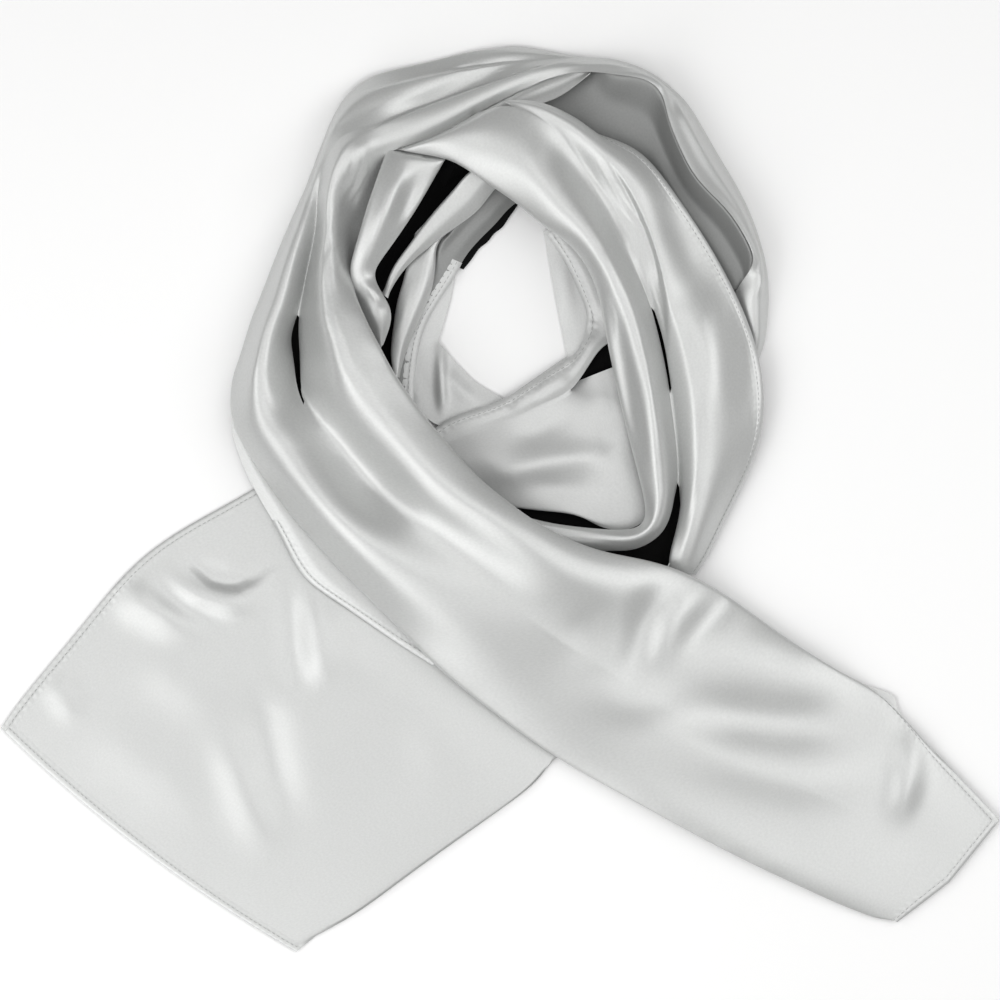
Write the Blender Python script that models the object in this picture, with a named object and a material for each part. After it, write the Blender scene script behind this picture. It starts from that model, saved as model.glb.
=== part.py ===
"""A long satin scarf, wound into a loose ring of about two turns and laid flat, its tails crossed in front.

Each stretch that shows is a cloth wall. A stretch is described by sections across the cloth, from edge a to
edge b, in millimetres, and by the folds that lie along it. The layers inside the ring are one rounded solid.
"""

import math
from collections import namedtuple

import bmesh
import bpy
import numpy as np
from mathutils import Vector
from mathutils.bvhtree import BVHTree

MM = 0.001
WALL = 1.2
LAYER_GAP = 0.6
LAYER_REACH = 3.0
SEAM_GAP = 0.8
JOIN_REACH = 1.5
MERGE_REACH = 0.01
ORIGIN_X, ORIGIN_Y = -0.3, 0.0
UNDER_FLOOR = -1.0
HIGH = 200.0
STEPS_ALONG = 2
STEPS_IN_PROFILE = 8
STEPS_ON_FOLD = 16

# How many faces a stretch has across.
SLIM, NARROW, BROAD, WIDEST = 4, 5, 7, 13

CLOTH_COLOUR = (0.69, 0.70, 0.70, 1.0)
INSIDE_COLOUR = (0.60, 0.61, 0.61, 1.0)
CLOTH_ROUGHNESS = 0.38

# A section runs from a to b. z is the height of the cloth's face there. turn is the radius by which the
# edge turns under, or, below zero, how far the cloth runs level before it rises. crown is the height of the
# highest or lowest part between, lean is where it is, from 0 at a to 1 at b, and bow curves the section.
Section = namedtuple("Section", "ax ay az aturn bx by bz bturn crown lean bow", defaults=(0.5, 0.0))

# A fold runs from start through middle to end. height is above or, below zero, under the cloth beside it.
Fold = namedtuple("Fold", "x0 y0 xm ym x1 y1 height width")
FOLD_HEIGHT_AT_ENDS = 0.35

# The face round an edge that turns under, from below: distance from the edge and height, both in radii.
TURNED_EDGE = ((1.5, -1.0), (0.35, -0.85), (0.0, 0.0), (0.5, 0.9))
MOST_LEVEL_SHARE = 0.3

LEFT_TAIL = [
    Section(-299, -138, 1.2, 0, -122, -272, 1.4, 0, 1.6, 0.5, -7),
    Section(-285, -118, 1.2, 0, -96, -249, 3.2, 2, 2.0, 0.5, -5),
    Section(-252, -79, 1.2, 0, -60, -227, 3.4, 2, 3.0, 0.6, -3),
    Section(-223, -43, 1.2, 0, -28, -204, 3.4, 2, 3.6, 0.6, -2),
    Section(-194, -21, 1.2, 0, 0, -183, 3.2, 2, 3.4, 0.5, -4),
    Section(-165, -5, 1.2, 0, 23, -165, 2.6, 1.2, 2.6, 0.5, -9),
    Section(-141, 9, 1.2, 0, 43, -150, 1.6, 0, 1.8, 0.5, -12),
]

LEFT_TAIL_FOLDS = [
    Fold(-196, -30, -168, -50, -130, -38, 8, 9),
    Fold(-224, -55, -205, -64, -178, -78, 6, 10),
    Fold(-117, -62, -116, -90, -117, -112, 7, 9),
    Fold(-160, -148, -150, -176, -141, -206, 4, 12),
    Fold(-84, -96, -50, -130, -20, -170, 3, 14),
]

UNDER_STRIP = [
    Section(-163, 46, 5.5, 0, -153, 42, 6.5, 0, 6.5),
    Section(-157, 28, 5.5, 0, -141, 24, 7.0, 0, 7.0),
    Section(-148, 6, 5.5, 0, -127, 4, 7.5, 0, 7.5),
    Section(-132, -20, 5.5, 0, -110, -17, 8.0, 0, 8.0),
    Section(-119, -47, 5.5, 0, -92, -38, 8.0, 0, 8.0),
    Section(-97, -62, 5.5, 0, -78, -54, 7.5, 0, 7.5),
    Section(-64, -85, 5.5, 0, -54, -75, 7.0, 0, 6.6),
    Section(-40, -100, 5.5, 0, -34, -94, 6.0, 0, 6.0),
]

TOP_OUTER = [
    Section(51, 265, 4, 0, 50, 262, 12, 0, 8),
    Section(27, 268, 3, 0, 29, 260, 16, 0, 9),
    Section(5, 272, 3, 0, 9, 255, 20, 0, 12),
    Section(-18, 268, 4, 3, -15, 245, 24, 0, 16),
    Section(-40, 262, 5, 4, -36, 236, 26, 0, 20),
    Section(-68, 256, 6, 5, -60, 227, 28, 0, 23),
    Section(-86, 248, 6, 5, -80, 221, 30, 0, 25),
]

LOOP_OUTER = [
    TOP_OUTER[-1],
    Section(-99, 232, 6, 5, -96, 215, 28, 0, 24),
    Section(-108, 209, 6, 5, -104, 200, 24, 0, 20),
    Section(-115, 190, 6, 5, -109, 182, 20, 0, 19, 0.45),
    Section(-125, 168, 6, 5, -110, 160, 16, 0, 23, 0.45),
    Section(-135, 144, 6, 5, -117, 138, 12, 0, 27, 0.45),
]

BAND_OUTER = [
    LOOP_OUTER[-1],
    Section(-144, 120, 6, 5, -121, 116, 10, 0, 30, 0.5),
    Section(-153, 95, 6, 5, -125, 92, 10, 0, 32, 0.5),
    Section(-161, 70, 7, 5, -119, 66, 20, -3, 33, 0.45),
    Section(-161, 44, 14, 5, -109, 41, 28, -6, 33, 0.45),
    Section(-145, 18, 15, 5, -90, 19, 32, -8, 35, 0.45),
    Section(-127, -8, 15, 5, -67, -3, 32, -8, 37, 0.45),
    Section(-108, -30, 15, 5, -45, -22, 34, -8, 38, 0.5),
    Section(-90, -49, 15, 5, -23, -41, 36, -8, 38, 0.55),
    Section(-58, -80, 14, 5, 7, -64, 35, -8, 34, 0.6),
    Section(-35, -104, 11, 5, 34, -84, 30, -8, 28, 0.6),
    Section(0, -131, 8, 5, 63, -102, 24, -8, 22, 0.6),
    Section(34, -156, 7, 4.5, 90, -121, 18, -8, 17, 0.6),
]

TAIL_OUTER = [
    BAND_OUTER[-1],
    Section(80, -181, 7, 4, 126, -142, 14, -8, 13, 0.6),
    Section(127, -207, 6.4, 3.6, 165, -166, 11, -8, 11, 0.6),
    Section(168, -227, 6, 3.2, 198, -181, 9, -8, 9, 0.6),
    Section(207, -244, 5.6, 2.6, 228, -196, 7, -6, 7.5, 0.6),
    Section(227, -251, 4.4, 0, 249, -205, 5.4, -4, 5.6, 0.6),
    Section(238, -254, 4.0, 0, 269, -230, 4.4, 0, 4.4, 0.5),
]

TOP_INNER = [
    Section(50, 262, 12, 0, 49, 257, 14, 0, 13.5),
    Section(29, 260, 16, 0, 28, 251, 17, 0, 17.5),
    Section(9, 255, 20, 0, 6, 240, 20, 0, 22),
    Section(-15, 245, 24, 0, -15, 229, 22, 0, 26),
    Section(-36, 236, 26, 0, -34, 218, 24, 0, 28),
    Section(-60, 227, 28, 0, -55, 210, 26, 0, 29),
    Section(-80, 221, 30, 0, -68, 205, 26, 0, 30),
]

LOOP_INNER = [
    TOP_INNER[-1],
    Section(-96, 215, 28, 0, -72, 194, 18, 0, 37, 0.25),
    Section(-104, 200, 24, 0, -77, 180, 12, 0, 38, 0.25),
    Section(-109, 182, 20, 0, -83, 166, 10, 0, 38, 0.3),
    Section(-110, 160, 16, 0, -88, 150, 14, 0, 38, 0.4),
    Section(-113, 138, 13, 0, -93, 134, 26, 0, 39, 0.5),
]

BAND_INNER = [
    LOOP_INNER[-1],
    Section(-117, 116, 12, 0, -80, 107, 36, 4, 41, 0.5),
    Section(-120, 92, 12, 0, -70, 88, 38, 4, 43, 0.55),
    Section(-119, 66, 20, -3, -57, 66, 38, 5, 45, 0.6),
    Section(-109, 41, 28, -6, -45, 49, 38, 5, 46, 0.6),
    Section(-90, 19, 32, -8, -33, 35, 38, 5, 46, 0.65),
    Section(-67, -3, 32, -8, -15, 14, 38, 5, 46, 0.65),
    Section(-45, -22, 34, -8, 6, -3, 38, 5, 45, 0.65),
    Section(-23, -41, 36, -8, 29, -19, 36, 5, 44, 0.65),
    Section(7, -64, 35, -8, 60, -32, 31, 5, 39, 0.6),
    Section(34, -84, 30, -8, 90, -37, 25, 5, 33, 0.6),
    Section(63, -102, 24, -8, 119, -48, 17, 5, 26, 0.6),
    Section(90, -121, 18, -8, 144, -64, 9, 4.5, 20, 0.6),
]

TAIL_INNER = [
    BAND_INNER[-1],
    Section(126, -142, 14, -8, 171, -84, 7, 4, 16, 0.6),
    Section(165, -166, 11, -8, 201, -103, 6.4, 3.6, 13, 0.6),
    Section(198, -181, 9, -8, 221, -115, 5.6, 2.6, 10.5, 0.6),
    Section(228, -196, 7, -6, 243, -136, 4.4, 0, 8, 0.5),
    Section(249, -205, 5.4, -4, 270, -162, 4.0, 0, 5.8, 0.5),
    Section(269, -230, 4.4, 0, 299, -193, 4.0, 0, 4.4, 0.5),
]

BAND_FOLDS = [
    Fold(-140, 48, -110, 0, -68, -44, 4, 8),
    Fold(-92, 62, -70, 20, -40, -30, 4, 14),
    Fold(-10, 8, 40, -42, 110, -56, 4, 12),
    Fold(-112, 40, -80, 2, -58, -14, -5, 10),
    Fold(34, -68, 48, -84, 60, -92, -4, 10),
    Fold(84, -66, 86, -90, 82, -106, -4, 8),
]

RIGHT_TAIL_FOLDS = [
    Fold(128, -58, 104, -84, 90, -110, 3, 8),
    Fold(126, -110, 166, -108, 206, -132, 4, 14),
    Fold(236, -160, 242, -170, 238, -186, 3, 9),
]

RIGHT_TAIL_UNDER = [
    Section(150, -150, 1.2, 0, 176, -96, 2.0, 0, 4.0),
    Section(182, -168, 1.2, 0, 216, -107, 2.0, 0, 4.0),
    Section(206, -184, 1.2, 0, 233, -117, 2.0, 0, 4.0),
    Section(222, -194, 1.2, 0, 237, -126, 2.0, 0, 4.0),
    Section(240, -218, 1.2, 0, 262, -160, 2.0, 0, 4.0),
]

ROLL = [
    Section(-64, 208, 31, 0, -60, 212, 32, 0, 32),
    Section(-52, 205, 31, 2, -43, 216, 33, 2, 36),
    Section(-32, 202, 32, 4, -19, 227, 34, 3, 41),
    Section(-18, 194, 32, 5, 3, 235, 36, 2, 43),
    Section(-5, 185, 32, 5, 24, 226, 40, -2, 44, 0.45),
    Section(10, 175, 32, 5, 41, 208, 40, -3, 45, 0.4),
    Section(26, 161, 32, 5, 55, 185, 38, -4, 45, 0.4),
    Section(40, 152, 32, 5, 67, 166, 36, -3, 44, 0.4),
    Section(50, 140, 32, 5, 78, 144, 32, -2, 43, 0.4),
    Section(58, 123, 31, 5, 87, 124, 25, -1, 42, 0.45),
    Section(62, 102, 30, 5, 94, 101, 18, 0, 42, 0.5),
    Section(67, 76, 28, 5, 100, 74, 13, 0, 41, 0.5),
    Section(77, 34, 26, 5, 105, 38, 12, 0, 37, 0.5),
    Section(85, 4, 23, 5, 107, 5, 11, 0, 33, 0.5),
    Section(87, -10, 21, 4, 100, -18, 14, 3, 29, 0.45),
    Section(83, -17, 19, 3, 88, -28, 15, 3, 26, 0.4),
    Section(73, -19, 18, 3, 75, -32, 15, 3, 24, 0.4),
    Section(54, -18, 18, 3, 58, -34, 15, 0, 22, 0.4),
    Section(34, -14, 17, 3, 38, -34, 14, 0, 20, 0.4),
]

COLLAR = [
    Section(3, 235, 36, 0, 5, 238, 33, 0, 36),
    Section(24, 226, 40, -2, 25, 236, 33, 3, 41, 0.6),
    Section(41, 208, 40, -3, 48, 225, 32, 3, 41, 0.6),
    Section(55, 185, 38, -4, 66, 214, 28, 0, 40, 0.6),
    Section(67, 166, 36, -3, 86, 205, 25, 0, 36, 0.5),
    Section(78, 144, 32, -2, 105, 180, 23, 0, 34, 0.4),
    Section(87, 124, 25, -1, 122, 155, 21, 0, 32, 0.3),
    Section(94, 101, 18, 0, 139, 125, 19, 0, 31, 0.25),
    Section(100, 74, 13, 0, 155, 86, 16, 0, 30, 0.25),
    Section(105, 38, 12, 0, 158, 44, 12, 0, 28, 0.25),
    Section(107, 5, 11, 0, 148, 14, 9, 0, 25, 0.25),
    Section(106, -16, 12, 2, 134, -14, 7, 0, 21, 0.35),
    Section(101, -34, 12, 2, 124, -36, 6, 0, 16, 0.4),
    Section(99, -44, 10, 0, 117, -46, 6, 0, 12, 0.4),
]

ROLL_UPPER = ROLL[:14]
ROLL_LOWER = [Section(85, 4, 23, 5, 105, 4.6, 12, 0, 33, 0.5), *ROLL[14:]]

TOP_FOLDS = [
    Fold(-92, 240, -40, 248, 20, 262, -5, 5),
]

RIM_STRIP = [
    Section(54, 265, 4, 0, 53.5, 260, 13, 0, 9),
    Section(62, 265, 5, 4, 60, 254, 22, -1, 19),
    Section(73, 262, 5, 4, 70, 252, 25, -1, 22),
    Section(89, 256, 5, 4, 86, 250, 27, -1, 24),
    Section(103, 246, 5, 4, 97, 241, 28, -1, 25),
    Section(113, 236, 5, 4, 100, 226, 29, -1, 25),
    Section(122, 221, 5, 4, 107, 209, 30, -1, 25),
    Section(131, 205, 5, 4, 115, 193, 30, -1, 25),
    Section(142, 187, 5, 4, 126, 181, 30, -1, 25),
    Section(150, 171, 5, 4, 137, 170, 29, -1, 24),
    Section(156, 154, 5, 4, 147, 154, 27, -1, 23),
    Section(160, 136, 5, 4, 153, 139, 24, -1, 21),
    Section(161, 118, 5, 4, 154, 122, 20, -1, 17),
    Section(161, 104, 5, 4, 156, 106, 15, -1, 13),
    Section(158, 90, 4, 2, 155, 90, 10, -1, 9),
]

RIM_INSIDE = [
    Section(53.5, 260, 13, 0, 47, 240, 10, 0, 12),
    Section(60, 254, 22, -1, 51, 228, 10, 0, 14),
    Section(70, 252, 25, -1, 57, 212, 9, 0, 13),
    Section(86, 250, 27, -1, 69, 203, 8, 0, 13),
    Section(97, 241, 28, -1, 81, 197, 8, 0, 13),
    Section(100, 226, 29, -1, 90, 188, 8, 0, 14),
    Section(107, 209, 30, -1, 97, 179, 8, 0, 14),
    Section(115, 193, 30, -1, 104, 168, 8, 0, 14),
    Section(126, 181, 30, -1, 113, 155, 8, 0, 13),
    Section(137, 170, 29, -1, 121, 143, 8, 0, 13),
    Section(147, 154, 27, -1, 129, 131, 8, 0, 12),
    Section(153, 139, 24, -1, 136, 120, 9, 0, 12),
    Section(154, 122, 20, -1, 141, 108, 9, 0, 12),
    Section(156, 106, 15, -1, 147, 94, 8, 0, 10),
    Section(155, 90, 10, -1, 149, 82, 6, 0, 8),
]

TOP_FLAP = [
    Section(-8, 230, 34, 0, -6, 227, 34, 0, 36),
    Section(4, 237, 30, 0, 7, 231, 28, 0, 30),
    Section(23, 245, 25, 0, 28, 233, 22, 0, 24),
    Section(31, 249, 22, 0, 36, 239, 20, 0, 21),
    Section(35, 251, 20, 0, 39, 244, 18, 0, 19),
]

BROAD_FOLD = [
    Section(-64, 204, 36, 0, -31, 201, 36, 0, 40),
    Section(-71, 194, 31, 3, -38, 192, 26, 3, 34, 0.3),
    Section(-80, 171, 33, 3, -52, 168, 27, 3, 36, 0.35),
    Section(-86, 147, 31, 3, -68, 145, 26, 3, 34, 0.4),
    Section(-88, 133, 25, 2, -76, 133, 25, 2, 29, 0.5),
    Section(-83, 119, 22, 0, -68, 119, 22, 2, 26, 0.5),
    Section(-77, 108, 21, 0, -65, 112, 20, 2, 24, 0.5),
    Section(-71, 96, 18, 0, -67, 98, 17, 0, 18, 0.5),
]

NARROW_FOLD = [
    Section(-15, 190, 28, 0, -1, 183, 28, 0, 32),
    Section(-27, 184, 19, 2, -10, 174, 15, 2, 21, 0.4),
    Section(-42, 167, 17, 2, -31, 157, 14, 2, 20, 0.4),
    Section(-55, 151, 16, 1.5, -49, 145, 14, 1.5, 18, 0.5),
    Section(-65, 137, 14, 1.2, -59, 135, 14, 1.2, 16, 0.5),
    Section(-71, 125, 13, 0, -67, 123, 13, 0, 14, 0.5),
]

LOW_FOLD = [
    Section(-53, 141, 15, 0, -39, 149, 15, 0, 17),
    Section(-57, 133, 10, 1.5, -38, 140, 10, 1.5, 13, 0.5),
    Section(-62, 119, 10, 1.5, -41, 123, 10, 1.5, 15, 0.5),
    Section(-64, 102, 10, 1.5, -49, 104, 10, 1.5, 14, 0.5),
    Section(-64, 86, 10, 1.5, -56, 86, 9, 1.5, 12, 0.5),
    Section(-61, 74, 10, 0, -57, 73, 9, 0, 10, 0.5),
]

BACK_WALL = [
    Section(-9, 184, 16, 0, 8, 173, 5, 0, 10),
    Section(-21, 170, 15, 0, -5, 157, 5, 0, 10),
    Section(-38, 153, 14, 0, -16, 146, 4.6, 0, 8),
    Section(-48, 142, 12, 0, -26, 134, 4.4, 0, 7),
    Section(-54, 125, 10, 0, -35, 121, 4.4, 0, 6.2),
    Section(-60, 107, 6.4, 0, -46, 103, 4.4, 0, 5.4),
    Section(-65, 89, 6.4, 0, -50, 86, 4.4, 0, 5.4),
    Section(-68, 68, 6.4, 0, -52, 68, 4.4, 0, 5.4),
    Section(-68, 50, 6.4, 0, -52, 53, 4.4, 0, 5.4),
]

BACK_LAYER = [
    Section(-8, 166, 1.2, 0, -22, 176, 4.4, 0, 3.0),
    Section(-18, 152, 1.2, 0, -32, 160, 4.4, 0, 3.0),
    Section(-26, 137, 1.2, 0, -44, 140, 4.4, 0, 3.0),
    Section(-29, 118, 1.2, 0, -57, 118, 4.4, 0, 3.0),
    Section(-36, 94, 1.2, 0, -62, 86, 4.4, 0, 3.0),
    Section(-27, 82, 1.2, 0, -48, 52, 4.4, 0, 3.0),
    Section(-15, 70, 1.2, 0, -33, 42, 4.4, 0, 3.0),
    Section(3, 60, 1.2, 0, 3, 36, 4.4, 0, 3.0),
    Section(24, 74, 1.2, 0, 42, 52, 4.4, 0, 3.0),
    Section(40, 85, 1.2, 0, 60, 74, 4.4, 0, 3.0),
    Section(36, 107, 1.2, 0, 62, 104, 4.4, 0, 3.0),
    Section(31, 133, 1.2, 0, 56, 137, 4.4, 0, 3.0),
    Section(26, 160, 1.2, 0, 44, 166, 4.4, 0, 3.0),
]

BOWL = [
    Section(-46, 35, 7, 0, 16, -30, 7, 0, 9),
    Section(-37, 43, 6, 0, 38, -32, 6, 0, 10, 0.4),
    Section(-26, 49, 5, 0, 62, -26, 6, 0, 11, 0.4),
    Section(-7, 55, 5, 0, 84, -13, 8, 0, 12, 0.4),
    Section(13, 67, 5, 0, 91, 12, 10, 0, 12, 0.45),
    Section(34, 79, 5, 0, 86, 40, 12, 0, 12, 0.5),
    Section(45, 86, 6, 0, 79, 65, 14, 0, 12, 0.5),
    Section(52, 100, 6, 0, 73, 89, 14, 0, 11, 0.5),
    Section(52, 113, 6, 0, 71, 108, 13, 0, 10, 0.5),
    Section(45, 130, 5, 0, 65, 129, 12, 0, 9, 0.5),
    Section(38, 144, 5, 0, 56, 146, 11, 0, 8, 0.5),
    Section(28, 158, 5, 0, 41, 163, 10, 0, 7, 0.5),
]

BOWL_FOLDS = [
    Fold(-10, 12, 30, 22, 70, 24, 5, 10),
    Fold(-20, 40, 12, 50, 42, 64, 4, 6),
]

# The heaped layers inside the ring: the bounds of the solid, inner and outer, going round from the top.
HEAP = [
    (-4, 192, 2, 246),
    (30, 190, 52, 240),
    (48, 172, 96, 216),
    (62, 150, 124, 176),
    (68, 120, 138, 132),
    (68, 92, 142, 92),
    (70, 66, 140, 44),
    (52, 42, 118, 4),
    (30, 26, 104, -40),
    (4, 20, 60, -76),
    (-30, 26, -14, -66),
    (-56, 32, -62, -30),
    (-80, 52, -104, 12),
    (-79, 84, -136, 62),
    (-74, 112, -132, 104),
    (-68, 136, -118, 142),
    (-52, 158, -100, 196),
    (-30, 178, -56, 234),
]
HEAP_STEPS_ACROSS = 7
HEAP_STEPS_BETWEEN = 3
HEAP_CLEAR = 0.7
HEAP_REACH = (-12, -6, 0, 6, 12)
HEAP_LOWEST = 2.0
HEAP_EDGE_HEIGHT = 0.25
HEAP_EDGE_SLOPE = 2.2


def material(name, colour):
    made = bpy.data.materials.new(name)
    made.use_nodes = True
    shader = made.node_tree.nodes["Principled BSDF"]
    shader.inputs["Base Color"].default_value = colour
    shader.inputs["Roughness"].default_value = CLOTH_ROUGHNESS
    shader.inputs["Metallic"].default_value = 0.0
    return made


def catmull(before, start, end, after, t):
    """A smooth step from start to end, whose slopes come from their neighbours."""
    return 0.5 * (
        2 * start
        + (end - before) * t
        + (2 * before - 5 * start + 4 * end - after) * t**2
        + (3 * start - before - 3 * end + after) * t**3
    )


def smooth_line(points, steps):
    """Points on a smooth line through the given ones, with steps spans between each pair."""
    padded = [2 * points[0] - points[1], *points, 2 * points[-1] - points[-2]]
    line = [
        catmull(*padded[i : i + 4], k / steps)
        for i in range(len(points) - 1)
        for k in range(steps)
    ]
    return np.array([*line, points[-1]])


def evenly(line, count):
    """Count + 1 points spread evenly along a line."""
    lengths = np.linalg.norm(np.diff(line, axis=0), axis=1)
    run = np.concatenate([[0.0], np.cumsum(lengths)])
    places = np.linspace(0.0, run[-1], count + 1)
    return np.stack([np.interp(places, run, line[:, axis]) for axis in range(line.shape[1])], axis=1)


def edge_points(z, turn, width):
    """Distance from the edge and height of the points that shape one edge of a section."""
    if turn > 0:
        return [(far * turn, z + high * turn) for far, high in TURNED_EDGE]
    if turn < 0:
        return [(0.0, z), (min(-turn, MOST_LEVEL_SHARE * width), z)]
    return [(0.0, z)]


def section_points(row, across):
    """The cloth's face along one section, from edge a to edge b."""
    a, b = np.array([row.ax, row.ay], float), np.array([row.bx, row.by], float)
    width = np.linalg.norm(b - a)
    along = (b - a) / width
    aside = np.array([-along[1], along[0]])
    profile = edge_points(row.az, row.aturn, width)
    profile.append((row.lean * width, row.crown))
    profile += [(width - far, z) for far, z in reversed(edge_points(row.bz, row.bturn, width))]
    line = evenly(smooth_line(np.array(profile, float), STEPS_IN_PROFILE), across)
    share = np.clip(line[:, 0] / width, 0.0, 1.0)
    bowed = row.bow * 4 * share * (1 - share)
    plan = a + line[:, :1] * along + bowed[:, None] * aside
    return np.column_stack([plan, line[:, 1]])


def fold_lift(points, fold):
    """How far a fold raises each point."""
    start, end = np.array([fold.x0, fold.y0], float), np.array([fold.x1, fold.y1], float)
    middle = np.array([fold.xm, fold.ym], float)
    control = 2 * middle - (start + end) / 2
    best = np.full(points.shape[:-1], np.inf)
    place = np.zeros(points.shape[:-1])
    for t in np.linspace(0.0, 1.0, STEPS_ON_FOLD + 1):
        at = (1 - t) ** 2 * start + 2 * t * (1 - t) * control + t**2 * end
        far = np.linalg.norm(points[..., :2] - at, axis=-1)
        place = np.where(far < best, t, place)
        best = np.minimum(best, far)
    fade = FOLD_HEIGHT_AT_ENDS + (1 - FOLD_HEIGHT_AT_ENDS) * np.sin(math.pi * place)
    return fold.height * fade * np.exp(-((best / fold.width) ** 2))


def stretch_points(rows, folds, across):
    """The cloth's face over a whole stretch: one row of points for each step along it."""
    sections = [section_points(row, across) for row in rows]
    face = smooth_line(sections, STEPS_ALONG)
    for fold in folds:
        face[..., 2] += fold_lift(face, fold)
    return face


def part_below(face, uppers):
    """Lowers a face wherever a stretch that is already laid passes over it."""
    around = [(0, 0), (LAYER_REACH, 0), (-LAYER_REACH, 0), (0, LAYER_REACH), (0, -LAYER_REACH)]
    up = Vector((0, 0, 1))
    for index in np.ndindex(face.shape[:2]):
        x, y, z = face[index]
        for dx, dy in around:
            for tree in uppers:
                hit = tree.ray_cast(Vector((x + dx, y + dy, UNDER_FLOOR)), up)[0]
                if hit is not None:
                    z = min(z, hit.z - LAYER_GAP)
        face[index][2] = max(z, WALL)
    return face


def add_grid(mesh, face):
    """A grid of faces through the points of a stretch."""
    along, across = face.shape[0] - 1, face.shape[1] - 1
    made = bmesh.ops.create_grid(mesh, x_segments=across, y_segments=along, size=0.5)["verts"]
    made.sort(key=lambda vert: (round(vert.co.y, 5), round(vert.co.x, 5)))
    for vert, point in zip(made, face.reshape(-1, 3)):
        vert.co = point


def sink_clear(mesh, trees):
    """Lowers the faces that still cross a stretch above them, until none does."""
    crossing = True
    while crossing:
        mesh.faces.ensure_lookup_table()
        own = BVHTree.FromBMesh(mesh)
        crossing = {pair[0] for tree in trees for pair in own.overlap(tree)}
        for vert in {vert for index in crossing for vert in mesh.faces[index].verts}:
            vert.co.z -= LAYER_GAP


def wall(name, faces, cloth, uppers=()):
    """One stretch of cloth as a closed wall, from one face or two that share an edge. Returns its tree."""
    mesh = bmesh.new()
    for face in faces:
        add_grid(mesh, part_below(face, uppers) if uppers else face)
    bmesh.ops.remove_doubles(mesh, verts=mesh.verts, dist=MERGE_REACH)
    bmesh.ops.recalc_face_normals(mesh, faces=mesh.faces)
    if sum(face.normal.z * face.calc_area() for face in mesh.faces) < 0:
        bmesh.ops.reverse_faces(mesh, faces=mesh.faces)
    sink_clear(mesh, uppers)
    bmesh.ops.solidify(mesh, geom=mesh.faces[:], thickness=WALL)
    for vert in mesh.verts:
        vert.co.z = max(vert.co.z, 0.0)
    tree = BVHTree.FromBMesh(mesh)
    finish(name, mesh, cloth)
    return tree


def finish(name, mesh, cloth):
    """Turns a mesh in millimetres into the part's object in metres."""
    bmesh.ops.recalc_face_normals(mesh, faces=mesh.faces)
    bmesh.ops.translate(mesh, verts=mesh.verts, vec=(-ORIGIN_X, -ORIGIN_Y, 0))
    bmesh.ops.scale(mesh, verts=mesh.verts, vec=(MM, MM, MM))
    data = bpy.data.meshes.new(name)
    mesh.to_mesh(data)
    mesh.free()
    data.materials.append(cloth)
    data.shade_smooth()
    bpy.context.scene.collection.objects.link(bpy.data.objects.new(name, data))


def heap(name, cloth, trees):
    """The layers inside the ring: a ring that stands on the floor and fills the space under the stretches."""
    around = len(HEAP) * HEAP_STEPS_BETWEEN
    rows = [np.array(row, float) for row in HEAP]
    closed = [rows[-1], *rows, rows[0], rows[1]]
    bounds = [
        catmull(*closed[i : i + 4], k / HEAP_STEPS_BETWEEN)
        for i in range(len(rows))
        for k in range(HEAP_STEPS_BETWEEN)
    ]
    mesh = bmesh.new()
    verts = bmesh.ops.create_grid(mesh, x_segments=HEAP_STEPS_ACROSS, y_segments=around, size=0.5)["verts"]
    verts.sort(key=lambda vert: (round(vert.co.y, 5), round(vert.co.x, 5)))
    up = Vector((0, 0, 1))
    for number, vert in enumerate(verts):
        turn, step = divmod(number, HEAP_STEPS_ACROSS + 1)
        bound = bounds[turn % around]
        share = step / HEAP_STEPS_ACROSS
        x, y = bound[:2] + (bound[2:] - bound[:2]) * share
        lowest = HIGH
        for dx in HEAP_REACH:
            for dy in HEAP_REACH:
                for tree in trees:
                    hit = tree.ray_cast(Vector((x + dx, y + dy, UNDER_FLOOR)), up)[0]
                    if hit is not None:
                        lowest = min(lowest, hit.z)
        rounding = min(1.0, HEAP_EDGE_HEIGHT + HEAP_EDGE_SLOPE * min(share, 1 - share))
        height = lowest - HEAP_CLEAR if lowest < HIGH else HEAP_LOWEST
        vert.co = (x, y, max(height * rounding, min(height, HEAP_LOWEST)))
    bmesh.ops.remove_doubles(mesh, verts=mesh.verts, dist=MERGE_REACH)
    sink_clear(mesh, trees)
    raised = bmesh.ops.extrude_face_region(mesh, geom=mesh.faces[:])
    for item in raised["geom"]:
        if isinstance(item, bmesh.types.BMVert):
            item.co.z = 0.0
    finish(name, mesh, cloth)


def trimmed(face):
    """The same face, drawn back at both ends, clear of the stretch that carries on from it."""
    for end, beside in ((0, 1), (-1, -2)):
        step = face[beside] - face[end]
        lengths = np.linalg.norm(step, axis=1, keepdims=True)
        face[end] += step * (SEAM_GAP / 2 / lengths)
    return face


def join(first, second):
    """Puts the second face's near edge on the first one's far edge wherever the two are one cloth."""
    far_edge = first[:, -1]
    for point in second[:, 0]:
        apart = np.linalg.norm(far_edge - point, axis=1)
        if apart.min() < JOIN_REACH:
            point[:] = far_edge[apart.argmin()]


def stretch(name, tables, folds, across, cloth, uppers=()):
    """Lays one stretch of the scarf, across faces wide, under the ones that are already laid."""
    faces = [trimmed(stretch_points(rows, folds, across)) for rows in tables]
    if len(faces) == 2:
        join(*faces)
    return wall(name, faces, cloth, uppers)


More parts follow.
